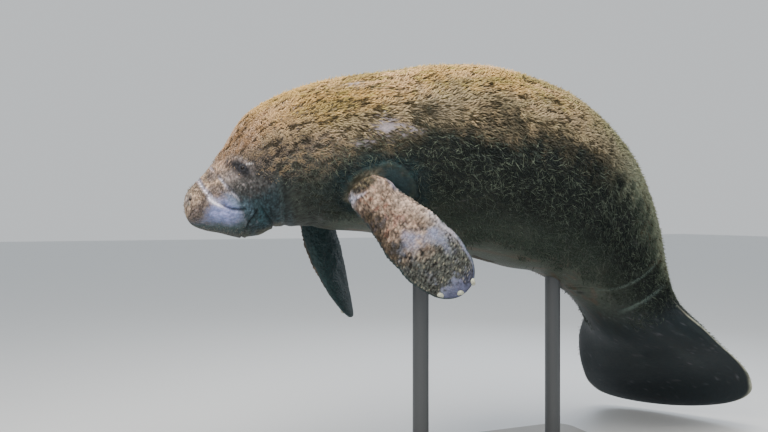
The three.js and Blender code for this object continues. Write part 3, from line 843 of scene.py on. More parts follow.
def blade_point(flipper, along, across, through, lift=0.0):
    """Point on a flipper: along its length from 0 to 1, across it from the trailing edge at -1 to the
    leading edge at 1, and through it from the inner face at -1 to the outer face at 1."""
    root, direction, outer, leading = blade_frame(flipper)
    past = np.clip((along - (1 - BLADE_TIP)) / BLADE_TIP, 0, 1)
    close = np.maximum((1 - past ** TIP_SQUARENESS) ** (1 / TIP_SQUARENESS), LEAST_OPENING)
    half_chord = blend(BLADE, 1, along) * close
    half_thickness = blend(BLADE, 2, along) * np.sqrt(close) + lift
    turn = np.radians(flipper["twist"] * along)
    chord = turned(leading, direction, turn)
    normal = turned(outer, direction, turn)
    swept = leading * (-flipper["sweep"] * flipper["length"] * along ** 2)[..., None]
    thickness = half_thickness * through * (1 + 0.2 * across)
    line = root + direction * (flipper["length"] * along)[..., None] + swept
    return line + chord * ((half_chord + lift) * across)[..., None] + normal * thickness[..., None]


# %% Flipper colours
def bare_skin(along, across, fine, broad):
    """Where the skin of a flipper is bare: round the middle, along the trailing edge, at the tip and in
    a small place at the root."""
    bare = patch(along, across, (0.49, 0.14), (0.07, 0.28))
    bare = bare + patch(along, across, (0.60, -0.55), (0.07, 0.36))
    bare = 0.75 * bare + 0.7 * patch(along, across, (0.70, -0.50), (0.06, 0.20))
    bare = bare + 0.6 * patch(along, across, (0.56, 0.0), (0.08, 0.8))
    bare = bare + ramp(along + 0.05 * across + 0.10 * fine + 0.10 * broad, 0.87, 0.95)
    bare = bare + ramp(-across, 0.80, 0.95) * ramp(along, 0.45, 0.6)
    return bare + patch(along, across, (0.13, -0.98), (0.07, 0.16))


def blade_colour(along, across, through, place, edge, tone):
    """Colour of a flipper: tan and rust near the body with a dark leading edge, bare violet skin round
    the middle, along the trailing edge and at the tip, olive between, painted shade in the gaps between
    the pebbles, and dark grey on the inner face, partly painted shade."""
    broad = noise(place, (0.05, 0.05, 0.05), 31) - 0.5
    fine = noise(place, (0.012, 0.012, 0.012), 32) - 0.5
    colour = filled("#ac9584", along.shape)
    rust = ramp(fine, 0.0, 0.25) * (1 - ramp(along, 0.38, 0.55)) * ramp(across, -0.5, -0.1)
    colour = mix(colour, linear("#80523f"), 0.7 * rust)
    colour = mix(colour, linear("#c0aa9b"), ramp(-across + 0.6 * broad, 0.2, 0.6) * ramp(along, 0.12, 0.25))
    leading_edge = ramp(across + broad + 0.4 * fine, 0.35, 0.75) * ramp(along, 0.10, 0.2)
    colour = mix(colour, linear("#574b3d"), leading_edge)
    olive = ramp(along + 0.25 * broad + 0.10 * fine - 0.05 * across, 0.40, 0.66)
    colour = mix(colour, linear("#555954"), olive)
    bare = bare_skin(along, across, fine, broad)
    colour = mix(colour, linear("#8187a4"), 0.80 * ramp(bare + 0.7 * fine + 0.6 * broad, 0.05, 1.15))
    colour = mix(colour, linear("#484c66"), 0.85 * ramp(along, 0.87, 0.95))
    worn = ramp(-across, 0.62, 0.92) * ramp(along, 0.38, 0.50) * (1 - ramp(along, 0.62, 0.80))
    colour = mix(colour, linear("#b9b4bd"), 0.7 * worn)
    crescent = 0.085 - 0.060 * np.clip(across, 0, 1) ** 2
    dome = (1 - ramp(along - crescent + 0.02 * fine, -0.030, 0.0)) * ramp(across, -0.75, -0.45)
    dome_colour = mix(filled("#2f2c23", along.shape), linear("#5f5842"), ramp(fine, -0.2, 0.2))
    colour = mix(colour, dome_colour, 0.95 * dome)
    rim = np.exp(-((along - crescent) / 0.010) ** 2) * ramp(across, 0.05, 0.4)
    rim = rim + patch(along, across, (0.045, 0.85), (0.035, 0.22))
    colour = mix(colour, linear("#c3c4d8"), 0.8 * rim)
    smooth_skin = ramp(bare, 0.4, 1.0)
    # Painted shade in the gaps between the pebbles, less on smooth skin
    gaps = (1 - ramp(edge, 0.02, 0.48)) * (1 - 0.7 * smooth_skin)
    outer_half = ramp(along, 0.42, 0.62) * (1 - smooth_skin)
    bumps = ramp(edge, 0.30, 0.70) * ramp(tone, 0.15, 0.6)
    colour = mix(colour, linear("#98937c"), 0.50 * outer_half * bumps)
    shade = 1 + (1 - 0.6 * smooth_skin) * 0.50 * (tone - 0.5) - (0.68 + 0.14 * outer_half) * gaps
    colour = colour * shade[..., None]
    # The inner face dark grey: partly its colour, partly painted shade
    return mix(colour, linear("#243537"), ramp(-through + 0.2 * fine, -0.45, -0.05))


# %% Hollow round a flipper's root
# Where the hollow's middle lies from the root, and its half sizes, along the body and in degrees
HOLLOW_SHIFT = (0.058, 2)
HOLLOW_HALF_SIZES = (0.162, 20)


def armpit(along, angle):
    """Distance from the middle of the bare hollow round the nearer flipper's root, in its half sizes:
    0 in the middle, 1 on the fold that closes it, a little ragged."""
    ragged = noise(straightened(along, angle), (0.05, 0.03, 0.03), 41) - 0.5
    nearest = np.full(along.shape, FAR)
    for flipper in FLIPPERS:
        u = (along - flipper["along"] - HOLLOW_SHIFT[0]) / HOLLOW_HALF_SIZES[0]
        v = (flipper["side"] * angle - flipper["angle"] - HOLLOW_SHIFT[1]) / HOLLOW_HALF_SIZES[1]
        nearest = np.minimum(nearest, np.hypot(u, v))
    return nearest + 0.24 * ragged


def teal_weight(hollow):
    """How teal the ring of thin skin round a flipper's root is: a wide bell, narrower on its inside."""
    return 0.9 * np.exp(-((hollow - 1.0) / np.where(hollow < 1, 0.15, 0.24)) ** 2)


def armpit_teal(along, angle, mottle):
    """Dark teal of the ring, a little lighter above the root than beside it."""
    above = 1 - ramp(np.abs(angle), 96, 120)
    lighter = ramp(mottle, 0.3, 0.7) * (0.4 + 0.6 * above)
    return mix(filled("#1b2b2f", along.shape), linear("#28484e"), lighter)


# %% Rough skin of a flipper
def make_blade(flipper, rings=108, columns=88):
    """Closed mesh of one flipper. Its rings crowd towards the tip, and pebbles roughen its skin."""
    share = np.linspace(0, 1, rings)
    along = (0.5 * share + 0.5 * np.sin(share * np.pi / 2))[:, None]
    turn = np.linspace(0, 2 * np.pi, columns, endpoint=False)[None, :] * flipper["side"]
    along, turn = np.broadcast_arrays(along, turn)
    across, through = np.cos(turn), np.sin(turn)
    place = np.stack([along * flipper["length"], across * 0.1, through * 0.05 + flipper["side"]], -1)
    size = 1 - 0.35 * ramp(along, 0.45, 0.7)
    edge, tone = pebbling(place / size[..., None], (0.0105, 0.0150, 0.020), 33)
    bare = ramp(along, 0.84, 0.94)
    lift = 0.0052 * (ramp(edge, 0.0, 0.5) - 0.5 + 0.35 * (tone - 0.5)) * size ** 2 * (1 - 0.85 * bare)
    lift = lift + 0.010 * (noise(place, (0.05, 0.04, 0.04), 43) - 0.5) * (1 - ramp(along, 0.5, 0.9))
    points, faces = closed_rings(blade_point(flipper, along, across, through, lift))
    made = make_object("flipper_" + flipper["name"], points, faces)
    give(made, "hide", "FLOAT_COLOR", with_ends(blade_colour(along, across, through, place, edge, tone)))
    give(made, "lie", "FLOAT_VECTOR", with_ends(place + np.array([5.0, 0, 0])))
    give(made, "pebbles", "FLOAT", with_ends(0.7 * (1 - 0.8 * bare)))
    give(made, "wrinkles", "FLOAT", with_ends(np.full(along.shape, 0.15)))
    give(made, "own", "FLOAT", with_ends(np.ones(along.shape)))
    return made


blades = [make_blade(flipper) for flipper in FLIPPERS]
print("points in a flipper", len(blades[0].data.vertices))

# %% [markdown]
# ## One skin
# The body is a grid of rings, about 2 mm apart on the head, where the creases are fine, and up to 17 mm
# apart behind it. They are 9 mm apart round the flippers, 7 mm at the creases of the tail and 4 mm at its
# edge. Under the coat the skin lies 4 mm inside the solids, so that the tufts end about where they do.

# %% Places of the rings
SKIN_COLUMNS = 216
COAT_DEPTH = 0.004


def row_places():
    """Places of the body's rings: spaced by a step that grows behind the head and is finer at the
    creases of the tail. Their number is the sum of one over the step."""
    fine = np.linspace(0.0005, BODY_LENGTH - 0.001, 20000)
    step = 0.0022 + 0.0148 * ramp(fine, 0.27, 0.40)
    step = step - 0.010 * ramp(fine, 1.90, 1.96) * (1 - ramp(fine, 2.22, 2.28))
    step = step - 0.008 * ramp(fine, 0.42, 0.50) * (1 - ramp(fine, 0.82, 0.90))
    step = step - 0.013 * ramp(fine, 3.00, 3.09)
    step = step - 0.0014 * (1 - ramp(fine, 0.004, 0.012))
    count = np.concatenate([[0], np.cumsum(np.diff(fine) / step[1:])])
    return np.interp(np.linspace(0, count[-1], int(count[-1]) + 1), count, fine)


rows = row_places()[:, None]
angles = (np.arange(SKIN_COLUMNS) * 360 / SKIN_COLUMNS)[None, :]
angles = np.where(angles > 180, angles - 360, angles)
rows, angles = np.broadcast_arrays(rows, angles)
print("rings", rows.shape[0], "columns", rows.shape[1])

# %% Shape of the skin
# Folds round a flipper's root: place in half sizes of the hollow, width in the same, and depth
ROOT_FOLDS = ((1.0, 0.07, 0.008), (0.72, 0.05, 0.004))
# Rings of wrinkles round the eye: where they are deepest, how far they reach, their step and depth
EYE_RINGS_AT = 0.018
EYE_RINGS_REACH = 0.010
EYE_RING_STEP = 0.0065
EYE_RING_DEPTH = 0.0010

place = straightened(rows, angles)
lumps = 0.006 * (noise(place, (0.22, 0.12, 0.12), 51) - 0.5)
lumps = lumps * ramp(rows, 0.3, 0.6) * (1 - ramp(rows, 2.2, 2.4))
hollow = armpit(rows, angles)
cover = algae_cover(rows, angles) * ramp(hollow, 0.90, 1.10)
for distance, width, depth in ROOT_FOLDS:
    lumps = lumps - depth * np.exp(-((hollow - distance) / width) ** 2)
plain = body_point(rows, angles)
eye_gap = np.full(rows.shape, FAR)
for side in (-1, 1):
    eye_place = body_point(np.array([[EYE_ALONG]]), np.array([[side * EYE_ANGLE]]))[0, 0]
    eye_gap = np.minimum(eye_gap, np.linalg.norm(plain - eye_place, axis=-1))
around_eye = np.exp(-((eye_gap - EYE_RINGS_AT) / EYE_RINGS_REACH) ** 2)
lumps = lumps - EYE_RING_DEPTH * np.cos(eye_gap * 2 * np.pi / EYE_RING_STEP) * around_eye
skin_rings = body_point(rows, angles, lumps - COAT_DEPTH * cover)
print("lumps from", lumps.min().round(4), "to", lumps.max().round(4))

# %% Colours of the skin
colours = hide_colour(rows, angles)
mottle = noise(place, (0.012, 0.012, 0.012), 42)
speck = noise(place, (0.008, 0.004, 0.004), 44)
dome = mix(filled("#3c3b31", rows.shape), linear("#7d786a"), ramp(0.5 * mottle + 0.5 * speck, 0.35, 0.62))
# The dome behind the flipper's root turns dark teal-grey: painted shade
behind = ramp(rows + 0.05 * (mottle - 0.5), 0.640, 0.690)
dome = mix(dome, linear("#223236"), behind)
colours = mix(colours, dome, 1 - ramp(hollow + 0.3 * (mottle - 0.5), 0.66, 0.90))
colours = mix(colours, armpit_teal(rows, angles, mottle), teal_weight(hollow))
# A dark line on the fold that closes the hollow: painted shade in the fold
colours = mix(colours, linear("#10191b"), 0.7 * np.exp(-((hollow - 1.02) / 0.05) ** 2))

points, faces = closed_rings(skin_rings)
skin = make_object("manatee_skin", points, faces)
muzzle = 1 - ramp(rows, 0.15, 0.20)
on_tail = ramp(rows, 2.2, 2.4)
give(skin, "hide", "FLOAT_COLOR", with_ends(colours))
give(skin, "lie", "FLOAT_VECTOR", with_ends(place))
give(skin, "pebbles", "FLOAT", with_ends(0.25 * (1 - muzzle) * (1 - on_tail)))
give(skin, "wrinkles", "FLOAT", with_ends(np.clip(0.35 + muzzle, 0, 1) * (1 - 0.8 * on_tail)))
give(skin, "own", "FLOAT", with_ends(np.ones(rows.shape)))
print("points of the body's skin", len(points))

# %% [markdown]
# ## Joining the flippers
# The flippers are joined to the skin by a boolean union. The joint would be a hard line, so the points
# near it are smoothed: each is moved towards the mean of its neighbours, again and again.

# %% Union and smoothing
SEAM_REACH = 0.016
SEAM_ROUNDS = 14
SEAM_STEP = 0.6


def smooth_near(mesh, centres, reach, rounds):
    """Moves each point towards the mean of its neighbours, by a share that falls off as a bell with its
    distance from the nearest centre."""
    points = np.zeros(len(mesh.vertices) * 3)
    mesh.vertices.foreach_get("co", points)
    points = points.reshape(-1, 3)
    edges = np.zeros(len(mesh.edges) * 2, np.int32)
    mesh.edges.foreach_get("vertices", edges)
    edges = edges.reshape(-1, 2)
    low, high = centres.min(0) - 3 * reach, centres.max(0) + 3 * reach
    inside = np.flatnonzero(((points > low) & (points < high)).all(1))
    gap = np.full(len(points), FAR)
    for part in np.array_split(inside, max(1, len(inside) // 2000)):
        gap[part] = np.linalg.norm(points[part, None] - centres[None], axis=-1).min(-1)
    share = np.exp(-(gap / reach) ** 2)
    near = share > 0.02
    used = edges[near[edges].any(1)]
    both = np.concatenate([used, used[:, ::-1]])
    neighbours = np.bincount(both[:, 0], minlength=len(points))
    for _ in range(rounds):
        mean = np.stack([np.bincount(both[:, 0], points[both[:, 1], k], len(points)) for k in range(3)], -1)
        mean[near] /= neighbours[near, None]
        points[near] += (mean[near] - points[near]) * SEAM_STEP * share[near, None]
    mesh.vertices.foreach_set("co", points.ravel())
    mesh.update()


def union(base, other):
    """Joins a mesh to another with the Manifold solver and returns the points of the line where they
    meet, which are the ones that have no attributes of their own yet."""
    join = base.modifiers.new("union", "BOOLEAN")
    join.operation = "UNION"
    join.solver = "MANIFOLD"
    join.object = other
    joined = bpy.data.meshes.new_from_object(base.evaluated_get(bpy.context.evaluated_depsgraph_get()))
    base.modifiers.remove(join)
    base.data = joined
    bpy.data.objects.remove(other)
    points = np.zeros(len(joined.vertices) * 3)
    joined.vertices.foreach_get("co", points)
    points = points.reshape(-1, 3)
    new = np.flatnonzero(read(joined, "own")[:, 0] < 0.5)
    old = np.flatnonzero(read(joined, "own")[:, 0] >= 0.5)
    close = old[(np.abs(points[old] - points[new].mean(0)) < 0.3).all(1)]
    nearest = close[np.linalg.norm(points[new, None] - points[None, close], axis=-1).argmin(-1)]
    for name, width in (("hide", 4), ("lie", 3), ("pebbles", 1), ("wrinkles", 1), ("own", 1)):
        values = read(joined, name, width)
        values[new] = values[nearest]
        joined.attributes[name].data.foreach_set(FIELDS[width], values.ravel())
    return points[new]


# %% One skin
for blade in blades:
    seam = union(skin, blade)
    smooth_near(skin.data, seam, SEAM_REACH, SEAM_ROUNDS)
    print("joined a flipper along", len(seam), "points")
skin.data.polygons.foreach_set("use_smooth", np.ones(len(skin.data.polygons), bool))
print("triangles in the skin", len(skin.data.loops) - 2 * len(skin.data.polygons))
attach(skin, "root")
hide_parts("head", "neck", "chest", "abdomen", "rump", "tail_stock", "tail_paddle",
            "flipper_left", "flipper_right")

# %% [markdown]
# ## Materials
# The hide of a manatee is thick, finely wrinkled and leathery, and has a low gloss where it is bare. The
# algae on it is matt. Both read their colours from the points of the mesh and add the finer pattern with
# nodes: the hide on the straightened coordinates, so that wrinkles run the way the skin is stretched, and
# the algae on the coordinates of its own pieces.

# %% Node helper
def add(tree, kind, inputs=(), **settings):
    """Adds a node of a kind, sets its properties, and sets or links its inputs."""
    node = tree.nodes.new("ShaderNode" + kind)
    for name, value in settings.items():
        setattr(node, name, value)
    for key, value in dict(inputs).items():
        if isinstance(value, bpy.types.NodeSocket):
            tree.links.new(value, node.inputs[key])
        else:
            node.inputs[key].default_value = value
    return node


def new_material(name):
    """An empty node material and its node tree."""
    made = bpy.data.materials.new(name)
    made.use_nodes = True
    made.node_tree.nodes.clear()
    return made, made.node_tree


# %% Hide
PEBBLE_SIZE = 0.0075
WRINKLE_ACROSS = 0.0055
WRINKLE_ALONG = 0.030
GRAIN_SIZE = 0.0016

# Thick leathery skin: blotches in the tone and painted shade in its folds, pebbles, long wrinkles
# and a fine grain in the relief, and a low, uneven gloss that shows where the skin is wet and bare
hide, tree = new_material("manatee hide")
own_colour = add(tree, "Attribute", attribute_name="hide").outputs["Color"]
lie = add(tree, "Attribute", attribute_name="lie").outputs["Vector"]
pebbles = add(tree, "Attribute", attribute_name="pebbles").outputs["Fac"]
wrinkles = add(tree, "Attribute", attribute_name="wrinkles").outputs["Fac"]
blotch = add(tree, "TexNoise", {"Vector": lie, "Scale": 1 / 0.012, "Detail": 5.0, "Roughness": 0.65})
stretch = add(tree, "Mapping", {
    "Vector": lie, "Scale": (1 / WRINKLE_ALONG, 1 / WRINKLE_ACROSS, 1 / WRINKLE_ACROSS)})
folds = add(tree, "TexNoise", {
    "Vector": stretch.outputs[0], "Scale": 1.0, "Detail": 3.0, "Roughness": 0.6, "Distortion": 0.5})
cells = add(tree, "TexVoronoi", {
    "Vector": lie, "Scale": 1 / PEBBLE_SIZE, "Randomness": 1.0}, feature="SMOOTH_F1")
cells.inputs["Smoothness"].default_value = 0.6
grain = add(tree, "TexNoise", {"Vector": lie, "Scale": 1 / GRAIN_SIZE, "Detail": 2.0})
shade = add(tree, "MapRange", {
    "Value": blotch.outputs["Fac"], "From Min": 0.3, "From Max": 0.7, "To Min": 0.72, "To Max": 1.22})
crease_shade = add(tree, "MapRange", {
    "Value": folds.outputs["Fac"], "From Min": 0.3, "From Max": 0.6, "To Min": 0.78, "To Max": 1.06})
both = add(tree, "Math", {0: shade.outputs[0], 1: crease_shade.outputs[0]}, operation="MULTIPLY")
toned = add(tree, "VectorMath", {0: own_colour, "Scale": both.outputs[0]}, operation="SCALE")
pebble_height = add(tree, "Math", {0: cells.outputs["Distance"], 1: pebbles}, operation="MULTIPLY")
fold_height = add(tree, "Math", {0: folds.outputs["Fac"], 1: wrinkles}, operation="MULTIPLY")
grain_bump = add(tree, "Bump", {"Height": grain.outputs["Fac"], "Strength": 0.5, "Distance": 0.0006})
pebble_bump = add(tree, "Bump", {
    "Height": pebble_height.outputs[0], "Strength": 1.0, "Distance": 0.004,
    "Normal": grain_bump.outputs[0]}, invert=True)
fold_bump = add(tree, "Bump", {
    "Height": fold_height.outputs[0], "Strength": 1.0, "Distance": 0.006,
    "Normal": pebble_bump.outputs[0]})
gloss = add(tree, "MapRange", {"Value": blotch.outputs["Fac"], "To Min": 0.42, "To Max": 0.72})
surface = add(tree, "BsdfPrincipled", {
    "Base Color": toned.outputs[0], "Roughness": gloss.outputs[0], "Normal": fold_bump.outputs[0],
    "IOR": 1.42})
surface.inputs["Specular IOR Level"].default_value = 0.28
surface.inputs["Subsurface Weight"].default_value = 0.06
surface.inputs["Subsurface Scale"].default_value = 0.01
add(tree, "OutputMaterial", {"Surface": surface.outputs[0]})
skin.data.materials.clear()
skin.data.materials.append(hide)
print("nodes in the hide", len(tree.nodes))

# %% Algae
# Short soft growth: matt, with the strand's own tint, a fleck of lighter and darker growth on it, and a
# faint sheen where the light comes from behind
FLECK_SIZE = 0.004

algae, tree = new_material("algae growth")
tint = add(tree, "Attribute", attribute_name="tint").outputs["Color"]
place_now = add(tree, "TexCoord").outputs["Object"]
fleck = add(tree, "TexNoise", {"Vector": place_now, "Scale": 1 / FLECK_SIZE, "Detail": 3.0})
shade = add(tree, "MapRange", {
    "Value": fleck.outputs["Fac"], "From Min": 0.3, "From Max": 0.7, "To Min": 0.75, "To Max": 1.25})
toned = add(tree, "VectorMath", {0: tint, "Scale": shade.outputs[0]}, operation="SCALE")
surface = add(tree, "BsdfPrincipled", {
    "Base Color": toned.outputs[0], "Roughness": 0.85, "Specular IOR Level": 0.15})
surface.inputs["Sheen Weight"].default_value = 0.06
surface.inputs["Sheen Roughness"].default_value = 0.5
add(tree, "OutputMaterial", {"Surface": surface.outputs[0]})
print("nodes in the algae", len(tree.nodes))

# %% [markdown]
# ## The coat of algae
# Algae grows on the back and sides in short soft strands, combed towards the tail by the swimming. Each
# strand is a thin three-sided blade that starts in the skin, rises a little and lies back down. The
# strands are planted evenly for their size: the skin is divided into small cells, each cell's area is
# weighted by the cover and by how many strands it takes, and strands are dealt out over the sum.

# %% Coat dimensions
COAT_STRANDS = 120000
COAT_PIECES = ("head", "neck", "shoulders", "chest", "flank", "loin", "rump", "tail")
COAT_FROM = 0.14
COAT_TO = 3.05
CELL_ALONG = 0.006
CELL_ROUND = 1.5
COAT_SEED = 7


def strand_size(along, angle):
    """Length and width of a strand: short and fine on the face, longest on the back."""
    grown = ramp(along, 0.22, 0.70)
    side = ramp(np.abs(angle), 76, 110)
    tail = ramp(along, 1.9, 2.3)
    length = (0.0065 + 0.0235 * grown) * (1 - 0.25 * side) * (1 - 0.45 * tail)
    width = (0.0019 + 0.0023 * grown) * (1 - 0.30 * side) * (1 - 0.2 * tail)
    return length, width


def plant(count, seed):
    """Roots of the strands, as distance along the body and angle, sorted from head to tail."""
    random = np.random.default_rng(seed)
    along_steps = np.arange(COAT_FROM, COAT_TO, CELL_ALONG)
    round_steps = np.arange(-180 + CELL_ROUND / 2, 180, CELL_ROUND)
    row, column = np.meshgrid(along_steps, round_steps, indexing="ij")
    corner = body_point(row, column)
    down = body_point(row + CELL_ALONG, column) - corner
    round_it = body_point(row, column + CELL_ROUND) - corner
    area = np.linalg.norm(np.cross(down, round_it), axis=-1)
    length, width = strand_size(row, column)
    share = (area * algae_cover(row, column) / (length * width)).ravel()
    total = np.cumsum(share)
    dealt = (np.arange(count) + random.random(count)) * total[-1] / count
    cell = np.searchsorted(total, dealt)
    along = row.ravel()[cell] + random.random(count) * CELL_ALONG
    angle = column.ravel()[cell] + random.random(count) * CELL_ROUND
    order = np.argsort(along, kind="stable")
    return along[order], angle[order], random


print("a strand on the back", np.round(strand_size(1.0, 0.0), 4))

# %% Strand roots
along, angle, random = plant(COAT_STRANDS, COAT_SEED)
angle = (angle + 180) % 360 - 180
root = body_point(along, angle)
keep = armpit(along, angle) > 0.86 + 0.30 * random.random(len(root))
along, angle, root = along[keep], angle[keep], root[keep]
count = len(along)
ahead = unit(body_point(along + 0.004, angle) - root)
aside = unit(body_point(along, angle + 0.6) - root)
normal = unit(np.cross(aside, ahead))
normal *= np.where(((root - section(along)[0]) * normal).sum(-1) > 0, 1, -1)[:, None]
place = straightened(along, angle)
print("strands", count)

# %% Lie of the strands
WISP_SHARE = 0.15
STANDING_SHARE = 0.20

wave = 60 * (noise(place, (0.09, 0.035, 0.035), 61) - 0.5)
wave = wave + 40 * (noise(place, (0.03, 0.012, 0.012), 62) - 0.5)
loose = ramp(np.abs(angle), 80, 104)
hang = 48 * ramp(np.abs(angle), 56, 78) * random.uniform(0.2, 1.2, count) * np.sign(angle)
aim = np.radians(wave * (1 + 0.8 * loose) + hang + random.normal(0, 8 + 16 * loose, count))
wisp = (random.random(count) < WISP_SHARE) * ramp(np.abs(angle), 70, 92)
aim = aim + wisp * random.uniform(-1.2, 1.2, count)
side_way = np.cross(normal, ahead)
run = ahead * np.cos(aim)[:, None] + side_way * np.sin(aim)[:, None]
beside = np.cross(normal, run)
length, width = strand_size(along, angle)
length = length * random.uniform(0.6, 1.25, count) * (1 + 0.8 * wisp)
width = width * random.uniform(0.75, 1.25, count) * (1 - 0.45 * wisp)
cover = algae_cover(along, angle)
stands = (random.random(count) < STANDING_SHARE) * random.uniform(0.3, 1.3, count)
stands = stands * ramp(along, 0.2, 0.5)
bend = random.normal(0, 0.10, count) * length * (1 + 1.2 * wisp)
clump = 0.8 * noise(place, (0.026, 0.0085, 0.0085), 63) + 0.2 * random.random(count)
print("longest strand", length.max().round(4), "standing", int((stands > 0).sum()))

# %% Shape of the strands
ROOT_SINK = 0.0015
RISE_SPREAD = 0.0026

depth = -COAT_DEPTH * cover
sunk = root + normal * (depth - ROOT_SINK)[:, None]
raised = 0.0028 * (1 - ramp(clump, 0.45, 0.7)) * ramp(90 - np.abs(angle), -10, 20)
height = depth + 0.0022 + RISE_SPREAD * random.random(count) + 0.003 * stands + raised
middle = root + run * (0.5 * length)[:, None] + beside * bend[:, None]
middle = middle + normal * height[:, None]
height = depth + 0.0012 + RISE_SPREAD * random.random(count) + 0.012 * stands + 0.003 * wisp + raised
tip = root + run * (length * (1 - 0.3 * stands))[:, None] + beside * (2.4 * bend)[:, None]
tip = tip + normal * height[:, None]


def ring_of_three(centre, half, thick):
    """Left, right and top corner of a strand's cross section."""
    offset = beside * half[:, None]
    return [centre - offset, centre + offset, centre + normal * thick[:, None]]


corners = ring_of_three(sunk, 0.35 * width, 0.25 * width)
corners = corners + ring_of_three(middle, 0.5 * width, 0.4 * width) + [tip]
corners = np.stack(corners, 1)
print("corners of the strands", corners.shape)

# %% Colours of the strands
# Tone of a strand's seven corners: dark at its root as painted shade among the other strands, light at its
# tip
CORNER_SHADES = np.array([0.55, 0.55, 0.6, 0.95, 0.95, 1.0, 1.2])

tint = algae_colour(along, angle, clump) * random.uniform(0.85, 1.15, count)[:, None]
strand_mottle = noise(place, (0.012, 0.012, 0.012), 42)
strand_ring = 0.8 * teal_weight(armpit(along, angle))
tint = mix(tint, armpit_teal(along, angle, strand_mottle), strand_ring)
pale_wisp = wisp * random.random(count) * (1 - 0.5 * ramp(np.abs(angle), 100, 130))
tint = mix(tint, linear("#84927e"), 0.9 * pale_wisp)
tints = tint[:, None, :] * CORNER_SHADES[None, :, None]
print("mean tint", tint.mean(0).round(3))

# %% Coat pieces
STRAND_CORNERS = 7
STRAND_QUADS = np.array([[0, 1, 4, 3], [1, 2, 5, 4], [2, 0, 3, 5]])
STRAND_TRIANGLES = np.array([[3, 4, 6], [4, 5, 6], [5, 3, 6], [2, 1, 0]])
# Each strand has a small patch of its own in the coat's UV map, laid out by its root
PATCH_SIZE = 0.003
PATCH_SHAPE = np.array([[-0.35, -0.5], [0.35, -0.5], [0, -0.4], [-0.5, 0], [0.5, 0], [0, 0.1], [0, 0.5]])


def strand_faces(number):
    """Faces of so many strands, whose corners follow each other, seven to a strand."""
    first = np.arange(number)[:, None, None] * STRAND_CORNERS
    return [(first + STRAND_QUADS).reshape(-1, 4), (first + STRAND_TRIANGLES).reshape(-1, 3)]


for name, chosen in zip(COAT_PIECES, np.array_split(np.arange(count), len(COAT_PIECES))):
    faces = strand_faces(len(chosen))
    piece = make_object("algae_" + name, corners[chosen].reshape(-1, 3), faces)
    give(piece, "tint", "FLOAT_COLOR", tints[chosen].reshape(-1, 3))
    start, end = along[chosen].min(), along[chosen].max()
    at = np.stack([(along[chosen] - start) / (end - start), (angle[chosen] + 180) / 360], -1)
    at = PATCH_SIZE + at * (1 - 2 * PATCH_SIZE)
    flat = (at[:, None] + PATCH_SIZE * PATCH_SHAPE[None]).reshape(-1, 2)
    used = np.zeros(len(piece.data.loops), np.int32)
    piece.data.loops.foreach_get("vertex_index", used)
    layer = piece.data.uv_layers.new(name="OFBake")
    layer.uv.foreach_set("vector", flat[used].astype(np.float32).ravel())
    piece.data.materials.append(algae)
    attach(piece, "root")
    print(piece.name, "strands", len(chosen))

# %% [markdown]
# ## Eyes
# The eye is small and round and sits in a ring of wrinkled skin without lashes. The ball is nearly
# black, with a dark brown iris that shows only close by, and a wet clear front.

# %% Place of the eyes
EYE_RADIUS = 0.011
EYE_SINK = 0.0075


def eye_frame(side):
    """Centre of an eye, the way it looks, and the two ways across it, towards the tail and upwards."""
    at = np.array([EYE_ALONG])
    turn = np.array([side * EYE_ANGLE], float)
    surface = body_point(at, turn)[0]
    back = unit(body_point(at + 0.002, turn)[0] - surface)
    round_it = unit(body_point(at, turn + 0.5)[0] - surface)
    out = unit(np.cross(back, round_it))
    out = out * np.sign(out @ (surface - section(at)[0][0]))
    return surface - out * EYE_SINK, out, back, np.cross(out, back)


def sphere_rings(centre, out, back, up, radius, rings=24, columns=36):
    """Rings of a ball about the axis it looks along, from the front to the rear."""
    polar = (np.linspace(0.04, 0.98, rings) * np.pi)[:, None]
    turn = np.linspace(0, 2 * np.pi, columns, endpoint=False)[None, :]
    flat = np.cos(turn)[..., None] * back + np.sin(turn)[..., None] * up
    return centre + radius * (np.cos(polar)[..., None] * out + np.sin(polar)[..., None] * flat), polar, turn


print("eye looks", [eye_frame(side)[1].round(2) for side in (-1, 1)])

# %% Glass eye
# Dark glass: a black pupil in a brown iris with fine spokes, under a thin wet layer with a soft gleam
SPOKE_SIZE = 0.0012

eyeball, tree = new_material("glass eye")
ring = add(tree, "Attribute", attribute_name="iris").outputs["Fac"]
place_now = add(tree, "TexCoord").outputs["Object"]
spokes = add(tree, "TexNoise", {"Vector": place_now, "Scale": 1 / SPOKE_SIZE, "Detail": 2.0})
iris = add(tree, "ValToRGB", {"Fac": spokes.outputs["Fac"]})
iris.color_ramp.elements[0].color = (*linear("#0d0806"), 1)
iris.color_ramp.elements[1].color = (*linear("#22170f"), 1)
pupil = add(tree, "Mix", {
    "Factor": ring, "A": (0.002, 0.002, 0.003, 1), "B": iris.outputs["Color"]}, data_type="RGBA")
surface = add(tree, "BsdfPrincipled", {"Base Color": pupil.outputs["Result"], "Roughness": 0.30, "IOR": 1.33})
surface.inputs["Coat Weight"].default_value = 0.10
surface.inputs["Coat Roughness"].default_value = 0.12
add(tree, "OutputMaterial", {"Surface": surface.outputs[0]})
print("nodes in the glass eye", len(tree.nodes))

# %% Eyeballs and lids
LID_OPENING = 0.0082
LID_THICKNESS = 0.0034
LID_HEIGHT = 0.0066
LID_PUCKER = 0.0009


def tube_faces(count_round, count_tube):
    """Faces of a closed tube: quads from each ring to the next and from each column to the next."""
    i = np.arange(count_round)[:, None]
    j = np.arange(count_tube)[None, :]
    i_next, j_next = (i + 1) % count_round, (j + 1) % count_tube
    corners = (i * count_tube + j, i_next * count_tube + j, i_next * count_tube + j_next,
               i * count_tube + j_next)
    return np.stack(np.broadcast_arrays(*corners), -1).reshape(-1, 4)


